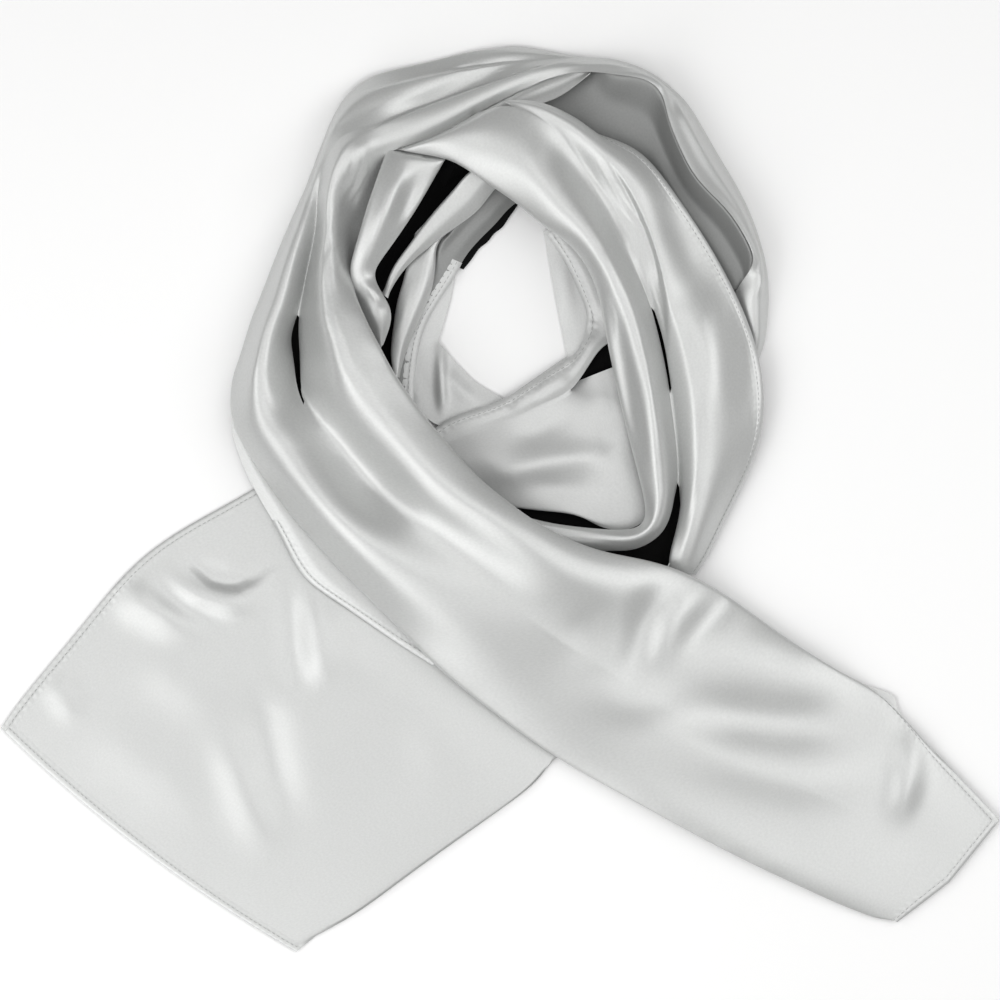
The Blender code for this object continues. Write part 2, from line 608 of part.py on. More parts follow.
def main():
    for old in list(bpy.data.objects):
        bpy.data.objects.remove(old, do_unlink=True)
    satin = material("satin", CLOTH_COLOUR)
    inside = material("satin_inside", INSIDE_COLOUR)

    band = stretch("front_band", [BAND_OUTER, BAND_INNER], BAND_FOLDS, BROAD, satin)
    tail = stretch("right_tail", [TAIL_OUTER, TAIL_INNER], RIGHT_TAIL_FOLDS, BROAD, satin)
    roll = stretch("inner_roll_and_collar", [ROLL_UPPER, COLLAR], [], BROAD, satin, [band])
    roll_end = stretch("inner_roll_end", [ROLL_LOWER], [], BROAD, satin, [band])
    broad_fold = stretch("inner_fold_broad", [BROAD_FOLD], [], BROAD + 1, satin, [band, roll])
    loop = stretch("left_loop", [LOOP_OUTER, LOOP_INNER], [], BROAD, satin, [roll, broad_fold])
    top = stretch("top_folds", [TOP_OUTER, TOP_INNER], TOP_FOLDS, BROAD, satin, [roll, broad_fold])
    flap = stretch("top_flap", [TOP_FLAP], [], SLIM, inside, [roll, top])
    rim = stretch("outer_rim", [RIM_STRIP, RIM_INSIDE], [], NARROW, satin, [roll, flap, top])
    ring = [band, roll, roll_end, broad_fold, loop, top, flap, rim]
    narrow_fold = stretch("inner_fold_narrow", [NARROW_FOLD], [], NARROW + 1, satin, ring)
    low_fold = stretch("inner_fold_low", [LOW_FOLD], [], NARROW + 1, satin, [*ring, narrow_fold])
    inner = [*ring, narrow_fold, low_fold]
    back_wall = stretch("back_wall", [BACK_WALL], [], NARROW, inside, inner)
    bowl = stretch("bowl", [BOWL], BOWL_FOLDS, BROAD, inside, ring)
    strip = stretch("under_strip", [UNDER_STRIP], [], NARROW, satin, [band])
    stretch("right_tail_under", [RIGHT_TAIL_UNDER], [], NARROW, satin, [tail])
    left_tail = stretch("left_tail", [LEFT_TAIL], LEFT_TAIL_FOLDS, WIDEST, satin, [band, strip, tail])
    back_layer = stretch("back_layer", [BACK_LAYER], [], SLIM, inside, [back_wall, bowl, *inner])
    heap("hidden_layers", inside, [*inner, back_wall, bowl, strip, left_tail, back_layer])


main()
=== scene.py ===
"""The looks of a long satin scarf, wound into a loose ring and laid flat with its tails crossed."""

import math
from collections import namedtuple

import bmesh
import bpy
import numpy as np
from mathutils import Matrix, Vector
from mathutils.bvhtree import BVHTree


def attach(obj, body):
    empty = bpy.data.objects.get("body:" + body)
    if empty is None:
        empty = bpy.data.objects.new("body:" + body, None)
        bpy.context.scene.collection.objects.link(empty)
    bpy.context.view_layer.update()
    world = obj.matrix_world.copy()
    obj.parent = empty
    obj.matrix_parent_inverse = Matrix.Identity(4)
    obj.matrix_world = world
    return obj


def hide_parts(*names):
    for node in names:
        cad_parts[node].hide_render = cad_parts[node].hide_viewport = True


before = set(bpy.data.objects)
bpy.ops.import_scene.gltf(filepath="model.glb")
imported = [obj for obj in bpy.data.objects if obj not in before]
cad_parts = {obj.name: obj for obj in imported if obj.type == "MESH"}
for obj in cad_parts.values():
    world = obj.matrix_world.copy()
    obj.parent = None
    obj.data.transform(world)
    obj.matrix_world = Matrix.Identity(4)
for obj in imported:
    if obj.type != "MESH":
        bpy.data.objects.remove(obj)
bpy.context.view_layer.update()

MM = 0.001

# What the picture takes in and where the camera is, in metres, and the camera's sensor, in millimetres.
PICTURE_WIDTH = 0.6
CAMERA_HEIGHT = 3.5
CAMERA_DOWN = 0.0012
CAMERA_SENSOR = 36

# All measures of the cloth are in millimetres. Its tables count from the middle of the picture, x to the
# right and y up, and the frame's origin is here in them.
ORIGIN_X, ORIGIN_Y = -0.3, 0.0

# The cloth's wall, the air between two layers, how far beside a point a layer above it counts, and how near
# two edges of one cloth are when they are joined.
CLOTH = 0.5
LAYER_GAP = 0.5
PRESS_REACH = 1.0
JOIN_REACH = 1.5
ROLL_JOIN_REACH = 0.7
BOWL_JOIN_REACH = 3.0
MERGE = 0.01

# How full and how flat a section's crown is, how wide a crease's edge is, and the share of a fold's length
# over which it fades at either end.
FULLNESS = 0.62
FLATNESS = 0.14
CREASE_EDGE = 1.3
FOLD_FADE = 0.42

# The spans between two points of a section's profile, and the places on a fold that points are measured from.
PROFILE_STEPS = 12
FOLD_PLACES = 49

# Softening, in points of the grid: across a face, at the shoulders beside a layer above, and at a seam.
ACROSS_SOFT = 0.8
SHOULDER_SOFT = 1.5
SEAM_SOFT, SEAM_ROWS = 4.0, 14
TURN_SOFT = 6.0
BESIDE_SOFT = 5.0

# The heap is lowered by DEPTH_UNDER wherever it is higher than DEEP_FOOT, and to DEEP_FLOOR at the lowest.
DEPTH_UNDER = 9.0
DEEP_FOOT, DEEP_FLOOR = 4.0, 3.0

# A hem is about 3.8 mm wide, with a stitch of 2.3 mm every 3.2 mm.
HEM_STEP = 0.8
HEM_ACROSS = (0.0, 0.5, 1.4, 2.4, 3.1, 3.5, 3.9, 4.7, 6.2, 8.2)
HEM_LIFT = (0.0, 0.4, 0.52, 0.46, 0.34, 0.22, 0.08, 0.08, 0.04, -0.15)
HEM_WAVE = (0.03, 0.08, 0.10, 0.07, 0.04, 0.07, 0.12, 0.12, 0.07, 0.0)
HEM_WALL = 0.35
HEM_OVERHANG = 0.35
PUCKER_SPACING = 4.6
PUCKER_PACE = 0.9
PUCKER_SOFT = 0.6
STITCH_COLUMN = 4
STITCH_PITCH = 3.2
STITCH_LENGTH = 2.3
STITCH_START = 0.15
STITCH_SHORTEST = 0.5
STITCH_RISE = 0.04
STITCH_HALF_WIDTH, STITCH_HALF_HEIGHT = 0.16, 0.1

# The rows between which the front band's ridge is crisp, and the row from which the roll's valley is, each
# with the number of rows over which it fades, below zero towards the start. The collar begins beside a row
# of the roll.
RIDGE_START, RIDGE_END = (70, -24), (138, 20)
VALLEY_START = (62, -20)
COLLAR_START = 27

# The first row of each hem that doesn't run the whole length of its stretch.
STRIP_HEM_START = 30
COLLAR_HEM_START = 20
BACK_HEM_START = 42
TAIL_SIDE_HEM_START = -28

# A section runs from a to b. z is the height of the cloth's face there. turn is the radius by which the
# edge turns under, or, below zero, how far the cloth runs level before it rises. crown is the height of the
# highest or lowest part between, lean is where it is, from 0 at a to 1 at b, and bow curves the section.
Section = namedtuple("Section", "ax ay az aturn bx by bz bturn crown lean bow", defaults=(0.5, 0.0))

# A fold runs from start through middle to end. height is above or, below zero, under the cloth beside it. A
# crease has a side, 1 for left of the way it runs and -1 for right, and lifts the cloth on that side alone.
Fold = namedtuple("Fold", "x0 y0 xm ym x1 y1 height width side", defaults=(0,))

LEFT_TAIL = [
    Section(-299, -138, 1.2, 0, -122, -272, 1.4, 0, 1.6, 0.5, -7),
    Section(-285, -118, 1.2, 0, -97, -253.5, 2.2, 1, 2.0, 0.5, -5),
    Section(-252, -79, 1.2, 0, -60, -227, 3.4, 2, 3.0, 0.6, -3),
    Section(-223, -43, 1.2, 0, -28, -204, 3.4, 2, 3.6, 0.6, -2),
    Section(-194, -21, 1.2, 0, 0, -183, 3.2, 2, 3.4, 0.5, -4),
    Section(-165, -5, 1.2, 0, 23, -165, 2.6, 1.2, 2.6, 0.5, -9),
    Section(-141, 9, 1.2, 0, 43, -150, 1.6, 0, 1.8, 0.5, -12),
]

LEFT_TAIL_FOLDS = [
    Fold(-194, -24, -164, -54, -124, -30, -2.4, 13, 1),
    Fold(-208, -32, -172, -62, -132, -50, 2.6, 8),
    Fold(-232, -52, -208, -66, -170, -84, 3.2, 12),
    Fold(-110, -42, -108, -84, -104, -120, 2.6, 11),
    Fold(-170, -130, -153, -172, -134, -222, 2.2, 13),
    Fold(-90, -90, -50, -130, -10, -176, 1.2, 20),
]

UNDER_STRIP = [
    Section(-158, 52, 5.5, 0, -153, 50, 6.5, 0, 6.5),
    Section(-161, 42, 5.5, 0, -148, 38, 6.5, 0, 6.5),
    Section(-157, 28, 5.5, 0, -141, 24, 7.0, 0, 7.0),
    Section(-148, 6, 5.5, 0, -127, 4, 7.5, 0, 7.5),
    Section(-132, -20, 5.5, 0, -110, -17, 8.0, 0, 8.0),
    Section(-119, -47, 5.5, 0, -92, -38, 8.0, 0, 8.0),
    Section(-97, -62, 5.5, 0, -78, -54, 7.5, 0, 7.5),
    Section(-64, -85, 5.5, 0, -54, -75, 7.0, 0, 6.6),
    Section(-40, -100, 5.5, 0, -34, -94, 6.0, 0, 6.0),
]

TOP_OUTER = [
    Section(51, 265, 4, 0, 50, 262, 12, 0, 8),
    Section(27, 268, 3, 0, 29, 260, 16, 0, 9),
    Section(5, 272, 3, 0, 9, 255, 20, 0, 12),
    Section(-18, 268, 4, 3, -15, 245, 24, 0, 16),
    Section(-40, 262, 5, 4, -36, 236, 26, 0, 20),
    Section(-68, 256, 6, 5, -60, 227, 28, 0, 23),
    Section(-86, 248, 6, 5, -80, 221, 30, 0, 25),
]

LOOP_OUTER = [
    Section(-99, 232, 6, 5, -96, 215, 28, 0, 24),
    Section(-108, 209, 6, 5, -104, 200, 24, 0, 20),
    Section(-115, 190, 6, 5, -109, 182, 20, 0, 19, 0.45),
    Section(-125, 168, 6, 5, -110, 160, 16, 0, 23, 0.45),
    Section(-135, 144, 6, 5, -115, 138, 13, 0, 27, 0.45),
]

BAND_OUTER = [
    Section(-144, 120, 6, 5, -119, 117, 11, 0, 30, 0.5),
    Section(-149, 108, 6, 5, -122.5, 106, 9, 0, 31, 0.5),
    Section(-153, 95, 6, 5, -125.5, 95, 9, 0, 32, 0.5),
    Section(-157, 82, 6, 5, -123, 81, 10, 0, 33, 0.45),
    Section(-161, 70, 7, 5, -121, 63, 15, -1, 33, 0.45),
    Section(-161, 44, 14, 5, -109, 41, 28, -6, 33, 0.45),
    Section(-145, 18, 15, 5, -90, 19, 32, -8, 35, 0.45),
    Section(-127, -8, 15, 5, -67, -3, 32, -8, 37, 0.45),
    Section(-108, -30, 15, 5, -45, -22, 34, -8, 38, 0.5),
    Section(-90, -49, 15, 5, -23, -41, 36, -8, 38, 0.55),
    Section(-58, -80, 14, 5, 7, -64, 35, -8, 34, 0.6),
    Section(-35, -104, 11, 5, 34, -84, 30, -8, 28, 0.6),
    Section(0, -131, 8, 5, 63, -102, 24, -8, 22, 0.6),
    Section(34, -156, 7, 4.5, 90, -121, 18, -8, 17, 0.6),
]

TAIL_OUTER = [
    Section(80, -181, 7, 4, 126, -142, 14, -8, 13, 0.6),
    Section(127, -207, 6.4, 3.6, 165, -166, 11, -8, 11, 0.6),
    Section(168, -227, 6, 3.2, 198, -181, 9, -8, 9, 0.6),
    Section(207, -245, 5.2, 2.2, 228, -196, 7, -6, 7.5, 0.6),
    Section(227, -252, 4.4, 1, 249, -205, 5.4, -4, 5.6, 0.6),
    Section(238, -254, 4.0, 0, 269, -230, 4.4, 0, 4.4, 0.5),
]

TOP_INNER = [
    Section(50, 262, 12, 0, 49, 257, 14, 0, 13.5),
    Section(29, 260, 16, 0, 28, 251, 17, 0, 17.5),
    Section(9, 255, 20, 0, 6, 240, 20, 0, 22),
    Section(-15, 245, 24, 0, -15, 229, 22, 0, 26),
    Section(-36, 236, 26, 0, -34, 218, 24, 0, 28),
    Section(-60, 227, 28, 0, -55, 210, 26, 0, 29),
    Section(-80, 221, 30, 0, -68, 205, 26, 0, 30),
]

LOOP_INNER = [
    Section(-96, 215, 28, 0, -65, 193, 15, 0, 37, 0.22),
    Section(-104, 200, 24, 0, -69, 178, 9, 0, 38, 0.22),
    Section(-109, 182, 20, 0, -75, 163, 7, 0, 38, 0.24),
    Section(-110, 160, 16, 0, -80, 147, 9, 0, 38, 0.32),
    Section(-115, 138, 13, 0, -86, 131, 18, 0, 39, 0.4),
]

BAND_INNER = [
    Section(-119, 117, 11, 0, -82, 112, 34, 4, 41, 0.5),
    Section(-120.5, 106, 9, 0, -77, 101, 36, 4, 42, 0.5),
    Section(-120.5, 95, 9, 0, -71, 90, 38, 4, 43, 0.55),
    Section(-119.5, 81, 10, 0, -65, 78, 38, 4, 44, 0.55),
    Section(-118.8, 63, 15, -1, -57, 66, 38, 5, 45, 0.6),
    Section(-109, 41, 28, -6, -45, 49, 38, 5, 46, 0.6),
    Section(-90, 19, 32, -8, -33, 35, 38, 5, 46, 0.65),
    Section(-67, -3, 32, -8, -15, 14, 38, 5, 46, 0.65),
    Section(-45, -22, 34, -8, 6, -3, 38, 5, 45, 0.65),
    Section(-23, -41, 36, -8, 29, -19, 36, 5, 44, 0.65),
    Section(7, -64, 35, -8, 60, -32, 31, 5, 39, 0.6),
    Section(34, -84, 30, -8, 90, -37, 25, 5, 33, 0.6),
    Section(63, -102, 24, -8, 119, -48, 17, 5, 26, 0.6),
    Section(90, -121, 18, -8, 144, -64, 9, 4.5, 20, 0.5),
]

TAIL_INNER = [
    Section(126, -142, 14, -8, 171, -84, 7, 4, 16, 0.42),
    Section(165, -166, 11, -8, 201, -103, 6.4, 3.6, 13, 0.42),
    Section(198, -181, 9, -8, 222, -113.5, 5.2, 2, 10.5, 0.45),
    Section(228, -196, 7, -6, 245, -135, 4.4, 0.8, 8, 0.5),
    Section(249, -205, 5.4, -4, 270, -162, 4.0, 0, 5.8, 0.5),
    Section(269, -230, 4.4, 0, 299, -193, 4.0, 0, 4.4, 0.5),
]

BAND_FOLDS = [
    Fold(-82, 210, -91, 168, -87, 130, -8, 8),
    Fold(-134, 56, -103, -1, -62, -52, 4, 9),
    Fold(-114, 62, -84, 18, -50, -22, -12, 12),
    Fold(-82, 72, -34, 6, 40, -28, 4, 10),
    Fold(-18, 14, 40, -42, 122, -56, 4.5, 10),
    Fold(-114, 20, -90, -20, -22, -84, 2.4, 6),
    Fold(-146, 26, -106, -14, -30, -100, 2.4, 7),
    Fold(-48, 6, -14, -30, 32, -58, -2.5, 10),
    Fold(-128, 106, -131, 70, -128, 34, -3, 8),
    Fold(-101, 128, -96, 90, -80, 54, 2, 10),
    Fold(-78, -66, -12, -117, 66, -169, 4, 4),
]

RIGHT_TAIL_FOLDS = [
    Fold(92, -44, 85, -80, 82, -120, -5, 8),
    Fold(64, -48, 75, -86, 80, -126, 2.2, 6),
    Fold(126, -50, 103, -76, 92, -116, 2.8, 8),
    Fold(44, -64, 50, -82, 58, -100, -2.2, 9),
    Fold(136, -54, 128, -70, 114, -90, -2.4, 8),
    Fold(34, -98, 70, -122, 122, -122, 2.8, 9),
    Fold(92, -114, 162, -134, 238, -134, -7.5, 12),
    Fold(76, -134, 160, -162, 232, -178, 4.5, 14),
    Fold(116, -76, 168, -96, 218, -114, 4, 11),
    Fold(240, -136, 245, -166, 232, -202, 4, 9),
    Fold(36, -153, 124, -200, 214, -244, 4, 4),
]

RIGHT_TAIL_UNDER = [
    Section(150, -150, 1.2, 0, 176, -96, 2.0, 0, 4.0),
    Section(186, -168, 1.2, 0, 213, -110, 2.0, 0, 4.0),
    Section(206, -184, 1.2, 0, 232, -116, 2.0, 0, 4.0),
    Section(212, -188, 1.2, 0, 238, -120.5, 2.0, 0, 4.0),
    Section(222, -194, 1.2, 0, 238, -127, 2.0, 0, 4.0),
    Section(240, -218, 1.2, 0, 262, -160, 2.0, 0, 4.0),
]

ROLL = [
    Section(-64, 208, 31, 0, -60, 212, 32, 0, 32),
    Section(-52, 205, 31, 2, -43, 216, 33, 2, 36),
    Section(-32, 202, 32, 4, -19, 227, 34, 3, 41),
    Section(-18, 194, 32, 5, 3, 235, 34, 0.6, 42),
    Section(-5, 185, 32, 5, 24, 226, 40, -2, 44, 0.45),
    Section(10, 175, 32, 5, 41, 208, 40, -3, 45, 0.4),
    Section(26, 161, 32, 5, 55, 185, 38, -4, 45, 0.4),
    Section(40, 152, 32, 5, 67, 166, 36, -3, 44, 0.4),
    Section(50, 140, 32, 5, 78, 144, 32, -2, 43, 0.4),
    Section(58, 123, 31, 5, 87, 124, 25, -1, 42, 0.45),
    Section(62, 102, 30, 5, 93.6, 101, 25, 0, 42, 0.5),
    Section(67, 76, 28, 5, 99.6, 74, 22, 0, 41, 0.5),
    Section(77, 34, 26, 5, 104.6, 38, 19, 0, 37, 0.5),
    Section(85, 4, 23, 5, 107, 5, 11, 0, 33, 0.5),
    Section(87, -10, 21, 4, 100, -18, 14, 3, 29, 0.45),
    Section(83, -17, 19, 3, 88, -28, 15, 3, 26, 0.4),
    Section(73, -19, 18, 3, 75, -32, 15, 3, 24, 0.4),
    Section(54, -18, 18, 3, 58, -34, 15, 0, 22, 0.4),
    Section(34, -15.5, 17, 3, 38, -35, 14, 0, 20, 0.4),
    Section(16, -11.5, 16, 2.5, 20, -33, 13, 0, 19, 0.4),
    Section(-2, -4, 15, 2, 2, -28, 12, 0, 17, 0.4),
]

COLLAR = [
    Section(3, 235, 34, 0, 5, 237, 32, 0, 33.4),
    Section(24, 226, 40, -2, 25, 236, 33, 3, 41, 0.6),
    Section(41, 208, 40, -3, 48, 225, 32, 3, 41, 0.6),
    Section(55, 185, 38, -4, 66, 214, 28, 0, 40, 0.6),
    Section(67, 166, 36, -3, 86, 205, 25, 0, 36, 0.5),
    Section(78, 144, 32, -2, 105, 180, 23, 0, 34, 0.4),
    Section(87, 124, 25, -1, 122, 155, 21, 0, 32, 0.3),
    Section(96, 101, 25, 0, 139, 125, 19, 0, 32, 0.25),
    Section(101, 74, 23, 0, 155, 86, 16, 0, 31, 0.25),
    Section(105.7, 38, 19, 0, 158, 44, 12, 0, 29, 0.25),
    Section(107, 5, 11, 0, 148, 14, 9, 0, 25, 0.25),
    Section(106, -16, 12, 2, 134, -14, 7, 0, 21, 0.35),
    Section(101, -34, 12, 2, 124, -36, 6, 0, 16, 0.4),
    Section(99, -44, 10, 0, 117, -46, 6, 0, 12, 0.4),
]

TOP_FOLDS = [
    Fold(-100, 237, -40, 253, 20, 262, -8, 9, 1),
    Fold(-84, 216, -27.6, 240, 55, 267, -8.5, 9, 1),
]

RIM_STRIP = [
    Section(54, 265, 4, 0, 53.5, 260, 13, 0, 9),
    Section(62, 265, 5, 4, 60, 254, 22, -1, 19),
    Section(73, 262, 5, 4, 70, 252, 25, -1, 22),
    Section(89, 256, 5, 4, 86, 250, 27, -1, 24),
    Section(103, 246, 5, 4, 97, 241, 28, -1, 25),
    Section(113, 236, 5, 4, 100, 226, 29, -1, 25),
    Section(122, 221, 5, 4, 107, 209, 30, -1, 25),
    Section(131, 205, 5, 4, 115, 193, 30, -1, 25),
    Section(142, 187, 5, 4, 126, 181, 30, -1, 25),
    Section(150, 171, 5, 4, 137, 170, 29, -1, 24),
    Section(156, 154, 5, 4, 147, 154, 27, -1, 23),
    Section(160, 138, 5, 4, 152, 141, 24, -1, 21),
    Section(161, 126, 5, 4, 145, 130, 14, 0, 20, 0.35),
    Section(161, 114, 5, 4, 138, 118, 10, 0, 17, 0.35),
    Section(160, 102, 5, 4, 142, 105, 9, 0, 14, 0.35),
    Section(158, 90, 4, 2, 148, 91, 8, 0, 10, 0.4),
    Section(154.5, 79, 3, 0, 146, 81, 5, 0, 6, 0.4),
]

RIM_INSIDE = [
    Section(34, 258, 8, 0, 10, 226, 8, 0, 9),
    Section(45, 259, 9, 0, 28, 218, 9, 0, 10),
    Section(54, 257, 12, 0, 42, 210, 9, 0, 12, 0.4),
    Section(62, 254, 20, -1, 52, 206, 9, 0, 13, 0.4),
    Section(71, 252, 25, -1, 60, 203, 9, 0, 13, 0.45),
    Section(86, 250, 27, -1, 70, 199, 8, 0, 13),
    Section(97, 241, 28, -1, 81, 193, 8, 0, 13),
    Section(100, 226, 29, -1, 90, 188, 8, 0, 14),
    Section(107, 209, 30, -1, 97, 179, 8, 0, 14),
    Section(115, 193, 30, -1, 104, 168, 8, 0, 14),
    Section(126, 181, 30, -1, 113, 155, 8, 0, 13),
    Section(137, 170, 29, -1, 121, 143, 8, 0, 13),
    Section(147, 154, 27, -1, 129, 131, 8, 0, 12),
    Section(152, 141, 24, -1, 135, 124, 9, 0, 12),
    Section(150, 133, 21, -1, 138, 121, 8, 0, 11),
]

TOP_FLAP = [
    Section(-26, 231, 31, 0, -25, 229, 31, 0, 31),
    Section(-8, 235, 30, 0, -5, 228, 34, 0, 33),
    Section(6, 242, 26, 0, 11, 231, 30, 0, 27),
    Section(23, 250, 20, 0, 28, 236, 25, 0, 20),
    Section(38, 257, 15, 0, 38, 241, 22, 0, 17),
    Section(47, 258, 14, 0, 47, 248, 20, 0, 16),
    Section(54, 256, 14, 0, 54, 254, 18, 0, 16),
]

BROAD_FOLD = [
    Section(-70, 213, 21, 0, -24, 208, 30, 0, 29),
    Section(-68, 206, 25, 2, -32, 202, 31, 2, 34),
    Section(-72, 195, 30, 3, -38, 192, 27, 3, 35, 0.3),
    Section(-80, 171, 33, 3, -52, 168, 27, 3, 37, 0.3),
    Section(-87, 147, 31, 3, -68, 145, 26, 3, 35, 0.4),
    Section(-90, 133, 26, 2, -76, 133, 25, 2, 29, 0.5),
    Section(-88, 120, 22, 0, -68, 119, 23, 2.5, 28, 0.6),
    Section(-84, 107, 21, 0, -65, 112, 22, 2.5, 27, 0.6),
    Section(-78, 98, 19, 0, -65, 104, 20, 2, 24, 0.6),
    Section(-72, 88, 18, 0, -69, 93, 18, 1.5, 20, 0.5),
]

NARROW_FOLD = [
    Section(-8, 203, 25, 0, 6, 190, 22, 0, 26),
    Section(-18.6, 195, 24, 2, -4.8, 182.4, 18, 2, 25, 0.35),
    Section(-27, 185, 21, 2, -13, 171, 16, 2, 23, 0.35),
    Section(-35.4, 175.8, 19, 2, -26, 162, 15, 2, 21, 0.4),
    Section(-45, 164.5, 17, 2, -38, 153, 14, 2, 19, 0.4),
    Section(-56, 149, 15, 1.5, -51, 143, 13, 1.5, 16.5, 0.5),
    Section(-65, 137, 14, 1.2, -60, 133, 13, 1.2, 15.5, 0.5),
    Section(-70.8, 122, 12.5, 0, -67, 119.5, 12.5, 0, 13, 0.5),
]

LOW_FOLD = [
    Section(-45, 153, 9, 0, -30, 160, 9, 0, 10),
    Section(-55.5, 141, 9, 1.5, -38, 151, 9, 1.5, 12, 0.6),
    Section(-57.5, 131, 9, 1.5, -38, 140, 9, 1.5, 13.5, 0.6),
    Section(-62, 118, 10, 1.5, -40.5, 123, 9, 1.5, 15, 0.6),
    Section(-64, 102, 10, 1.5, -49, 104, 9, 1.5, 14, 0.55),
    Section(-66, 86, 10, 1.5, -56, 88, 8, 1.5, 12, 0.5),
    Section(-64, 73, 10, 0, -60, 72, 8, 0, 10, 0.5),
]

BACK_WALL = [
    Section(0, 196, 12, 0, 20, 184, 5, 0, 9),
    Section(-9, 184, 13, 0, 6, 174.5, 5, 0, 9),
    Section(-16, 175, 14, 0, -1, 166, 5, 0, 9.5),
    Section(-24, 167, 14, 0, -7, 160, 5, 0, 9.5),
    Section(-32, 158, 14, 0, -15, 152, 4.8, 0, 8.5),
    Section(-39, 150, 12, 0, -22, 143, 4.6, 0, 8),
    Section(-45, 142, 11, 0, -26.5, 134, 4.4, 0, 7),
    Section(-50, 125, 9, 0, -35, 121, 4.4, 0, 6.4),
    Section(-56, 107, 6.4, 0, -46, 103, 4.4, 0, 5.6),
    Section(-62, 89, 6.4, 0, -50, 86, 4.4, 0, 5.6),
    Section(-66, 68, 6.4, 0, -52, 68, 4.4, 0, 5.6),
    Section(-68, 50, 6.4, 0, -52, 53, 4.4, 0, 5.6),
]

BACK_LAYER = [
    Section(-22, 146, 1.2, 0, -36, 152, 4.4, 0, 3.0),
    Section(-26, 137, 1.2, 0, -44, 140, 4.4, 0, 3.0),
    Section(-30, 118, 1.2, 0, -57, 118, 4.4, 0, 3.0),
    Section(-35, 100, 1.2, 0, -61, 94, 4.4, 0, 3.0),
    Section(-36.8, 94, 1.2, 0, -62, 86, 4.4, 0, 3.0),
    Section(-33, 89, 1.2, 0, -58, 72, 4.4, 0, 3.0),
    Section(-26, 81, 1.2, 0, -48, 52, 4.4, 0, 3.0),
    Section(-15, 70, 1.2, 0, -33, 42, 4.4, 0, 3.0),
    Section(-1, 61.5, 1.2, 0, -6, 37, 4.4, 0, 3.0),
    Section(3, 59.6, 1.2, 0, 3, 36, 4.4, 0, 3.0),
    Section(7, 62, 1.2, 0, 12, 38, 4.4, 0, 3.0),
    Section(24, 74, 1.2, 0, 42, 52, 4.4, 0, 3.0),
    Section(37, 83, 1.2, 0, 57, 70, 4.4, 0, 3.0),
    Section(40, 85.5, 1.2, 0, 60, 76, 4.4, 0, 3.0),
    Section(39, 91, 1.2, 0, 61, 86, 4.4, 0, 3.0),
    Section(36, 107, 1.2, 0, 62, 104, 4.4, 0, 3.0),
    Section(31, 133, 1.2, 0, 56, 137, 4.4, 0, 3.0),
    Section(26, 160, 1.2, 0, 44, 166, 4.4, 0, 3.0),
]

BOWL = [
    Section(-44, 28, 8, 0, -2, -4, 8, 1.5, 10),
    Section(-32, 33, 8, 0, 12, -6, 9, 2, 11.5, 0.4),
    Section(-20, 38, 9, 0, 30, -8, 10, 2, 13.5, 0.4),
    Section(0, 45, 10, 0, 46, -9.5, 11, 1.5, 14.5, 0.4),
    Section(13, 50, 11, 0, 66, -21, 9, 0, 15, 0.4),
    Section(25, 56, 12, 0, 93, -12, 9, 0, 15, 0.45),
    Section(41, 63, 12, 0, 92, 30, 11, 0, 15, 0.5),
    Section(42, 66.5, 8, 0, 88, 58, 12, 0, 12, 0.5),
    Section(44, 69, 5, 0, 82, 84, 13, 0, 11, 0.5),
]

BOWL_HEM_FOLD = [
    Section(-48, 33, 8, 0, -44, 28, 8, 0, 8),
    Section(-37, 43, 7, 0, -32, 33, 8, 0, 8, 0.6),
    Section(-26, 49, 7, 0, -20, 38, 9, 0, 8.6, 0.6),
    Section(-7, 55, 7, 0, 0, 45, 10, 0, 9.2, 0.6),
    Section(6, 61, 7, 0, 13, 50, 11, 0, 10, 0.6),
    Section(17, 68, 7, 0, 25, 56, 12, 0, 10.4, 0.6),
    Section(34, 79, 7, 0, 41, 63, 13, 0, 11, 0.6),
    Section(45, 86, 7, 0, 51, 76.5, 13.5, 0, 11.4, 0.6),
    Section(51, 96, 7, 0, 61, 91, 14, 0, 11, 0.5),
    Section(52.5, 105, 7, 0, 74, 98, 14, 0, 10.5, 0.5),
    Section(52, 113, 6, 0, 71, 108, 13, 0, 10, 0.5),
    Section(45, 130, 5, 0, 65, 129, 12, 0, 9, 0.5),
    Section(38, 144, 5, 0, 56, 146, 11, 0, 8, 0.5),
    Section(28, 158, 5, 0, 41, 163, 10, 0, 7, 0.5),
]

BOWL_HEM_FOLDS = [
    Fold(4, 52, 8, 58, 8, 66, -1.2, 2.5),
    Fold(20, 58, 26, 66, 28, 76, 1.0, 3),
    Fold(38, 68, 40, 76, 38, 84, -1.2, 3),
    Fold(56, 120, 58, 104, 52, 92, -1.5, 4),
]

# A near-black sheet of painted shadow, laid under the slits between the folds inside the left of the ring.
PAINTED_SHADOW_SLIT = [
    Section(-74, 158, 1.6, 0, -50, 164, 1.6, 0, 1.6),
    Section(-80, 118, 1.6, 0, -58, 122, 1.6, 0, 1.6),
    Section(-78, 96, 1.6, 0, -59, 98, 1.6, 0, 1.6),
    Section(-74, 72, 1.6, 0, -61, 74, 1.6, 0, 1.6),
]

# A near-black sheet of painted shadow, laid under the gap where the bowl's hem fold parts from the bowl.
PAINTED_SHADOW_GAP = [
    Section(34, 57, 5.4, 0, 36, 66, 5.4, 0, 5.4),
    Section(46, 60, 5.4, 0, 48, 82, 5.4, 0, 5.4),
    Section(60, 66, 5.4, 0, 58, 98, 5.4, 0, 5.4),
    Section(76, 72, 5.4, 0, 74, 102, 5.4, 0, 5.4),
]

BOWL_FOLDS = [
    Fold(-14, 10, 30, 22, 78, 25, 4.5, 9),
    Fold(0, 34, 24, 40, 44, 56, -2, 8),
    Fold(10, 4, 40, 6, 66, 0, -2, 8),
    Fold(66, 60, 62, 40, 66, 14, -2.5, 9),
]

RIM_FOLDS = [
    Fold(60, 258, 92, 252, 112, 228, 2, 6),
    Fold(96, 250, 104, 240, 108, 226, -2.5, 5),
]

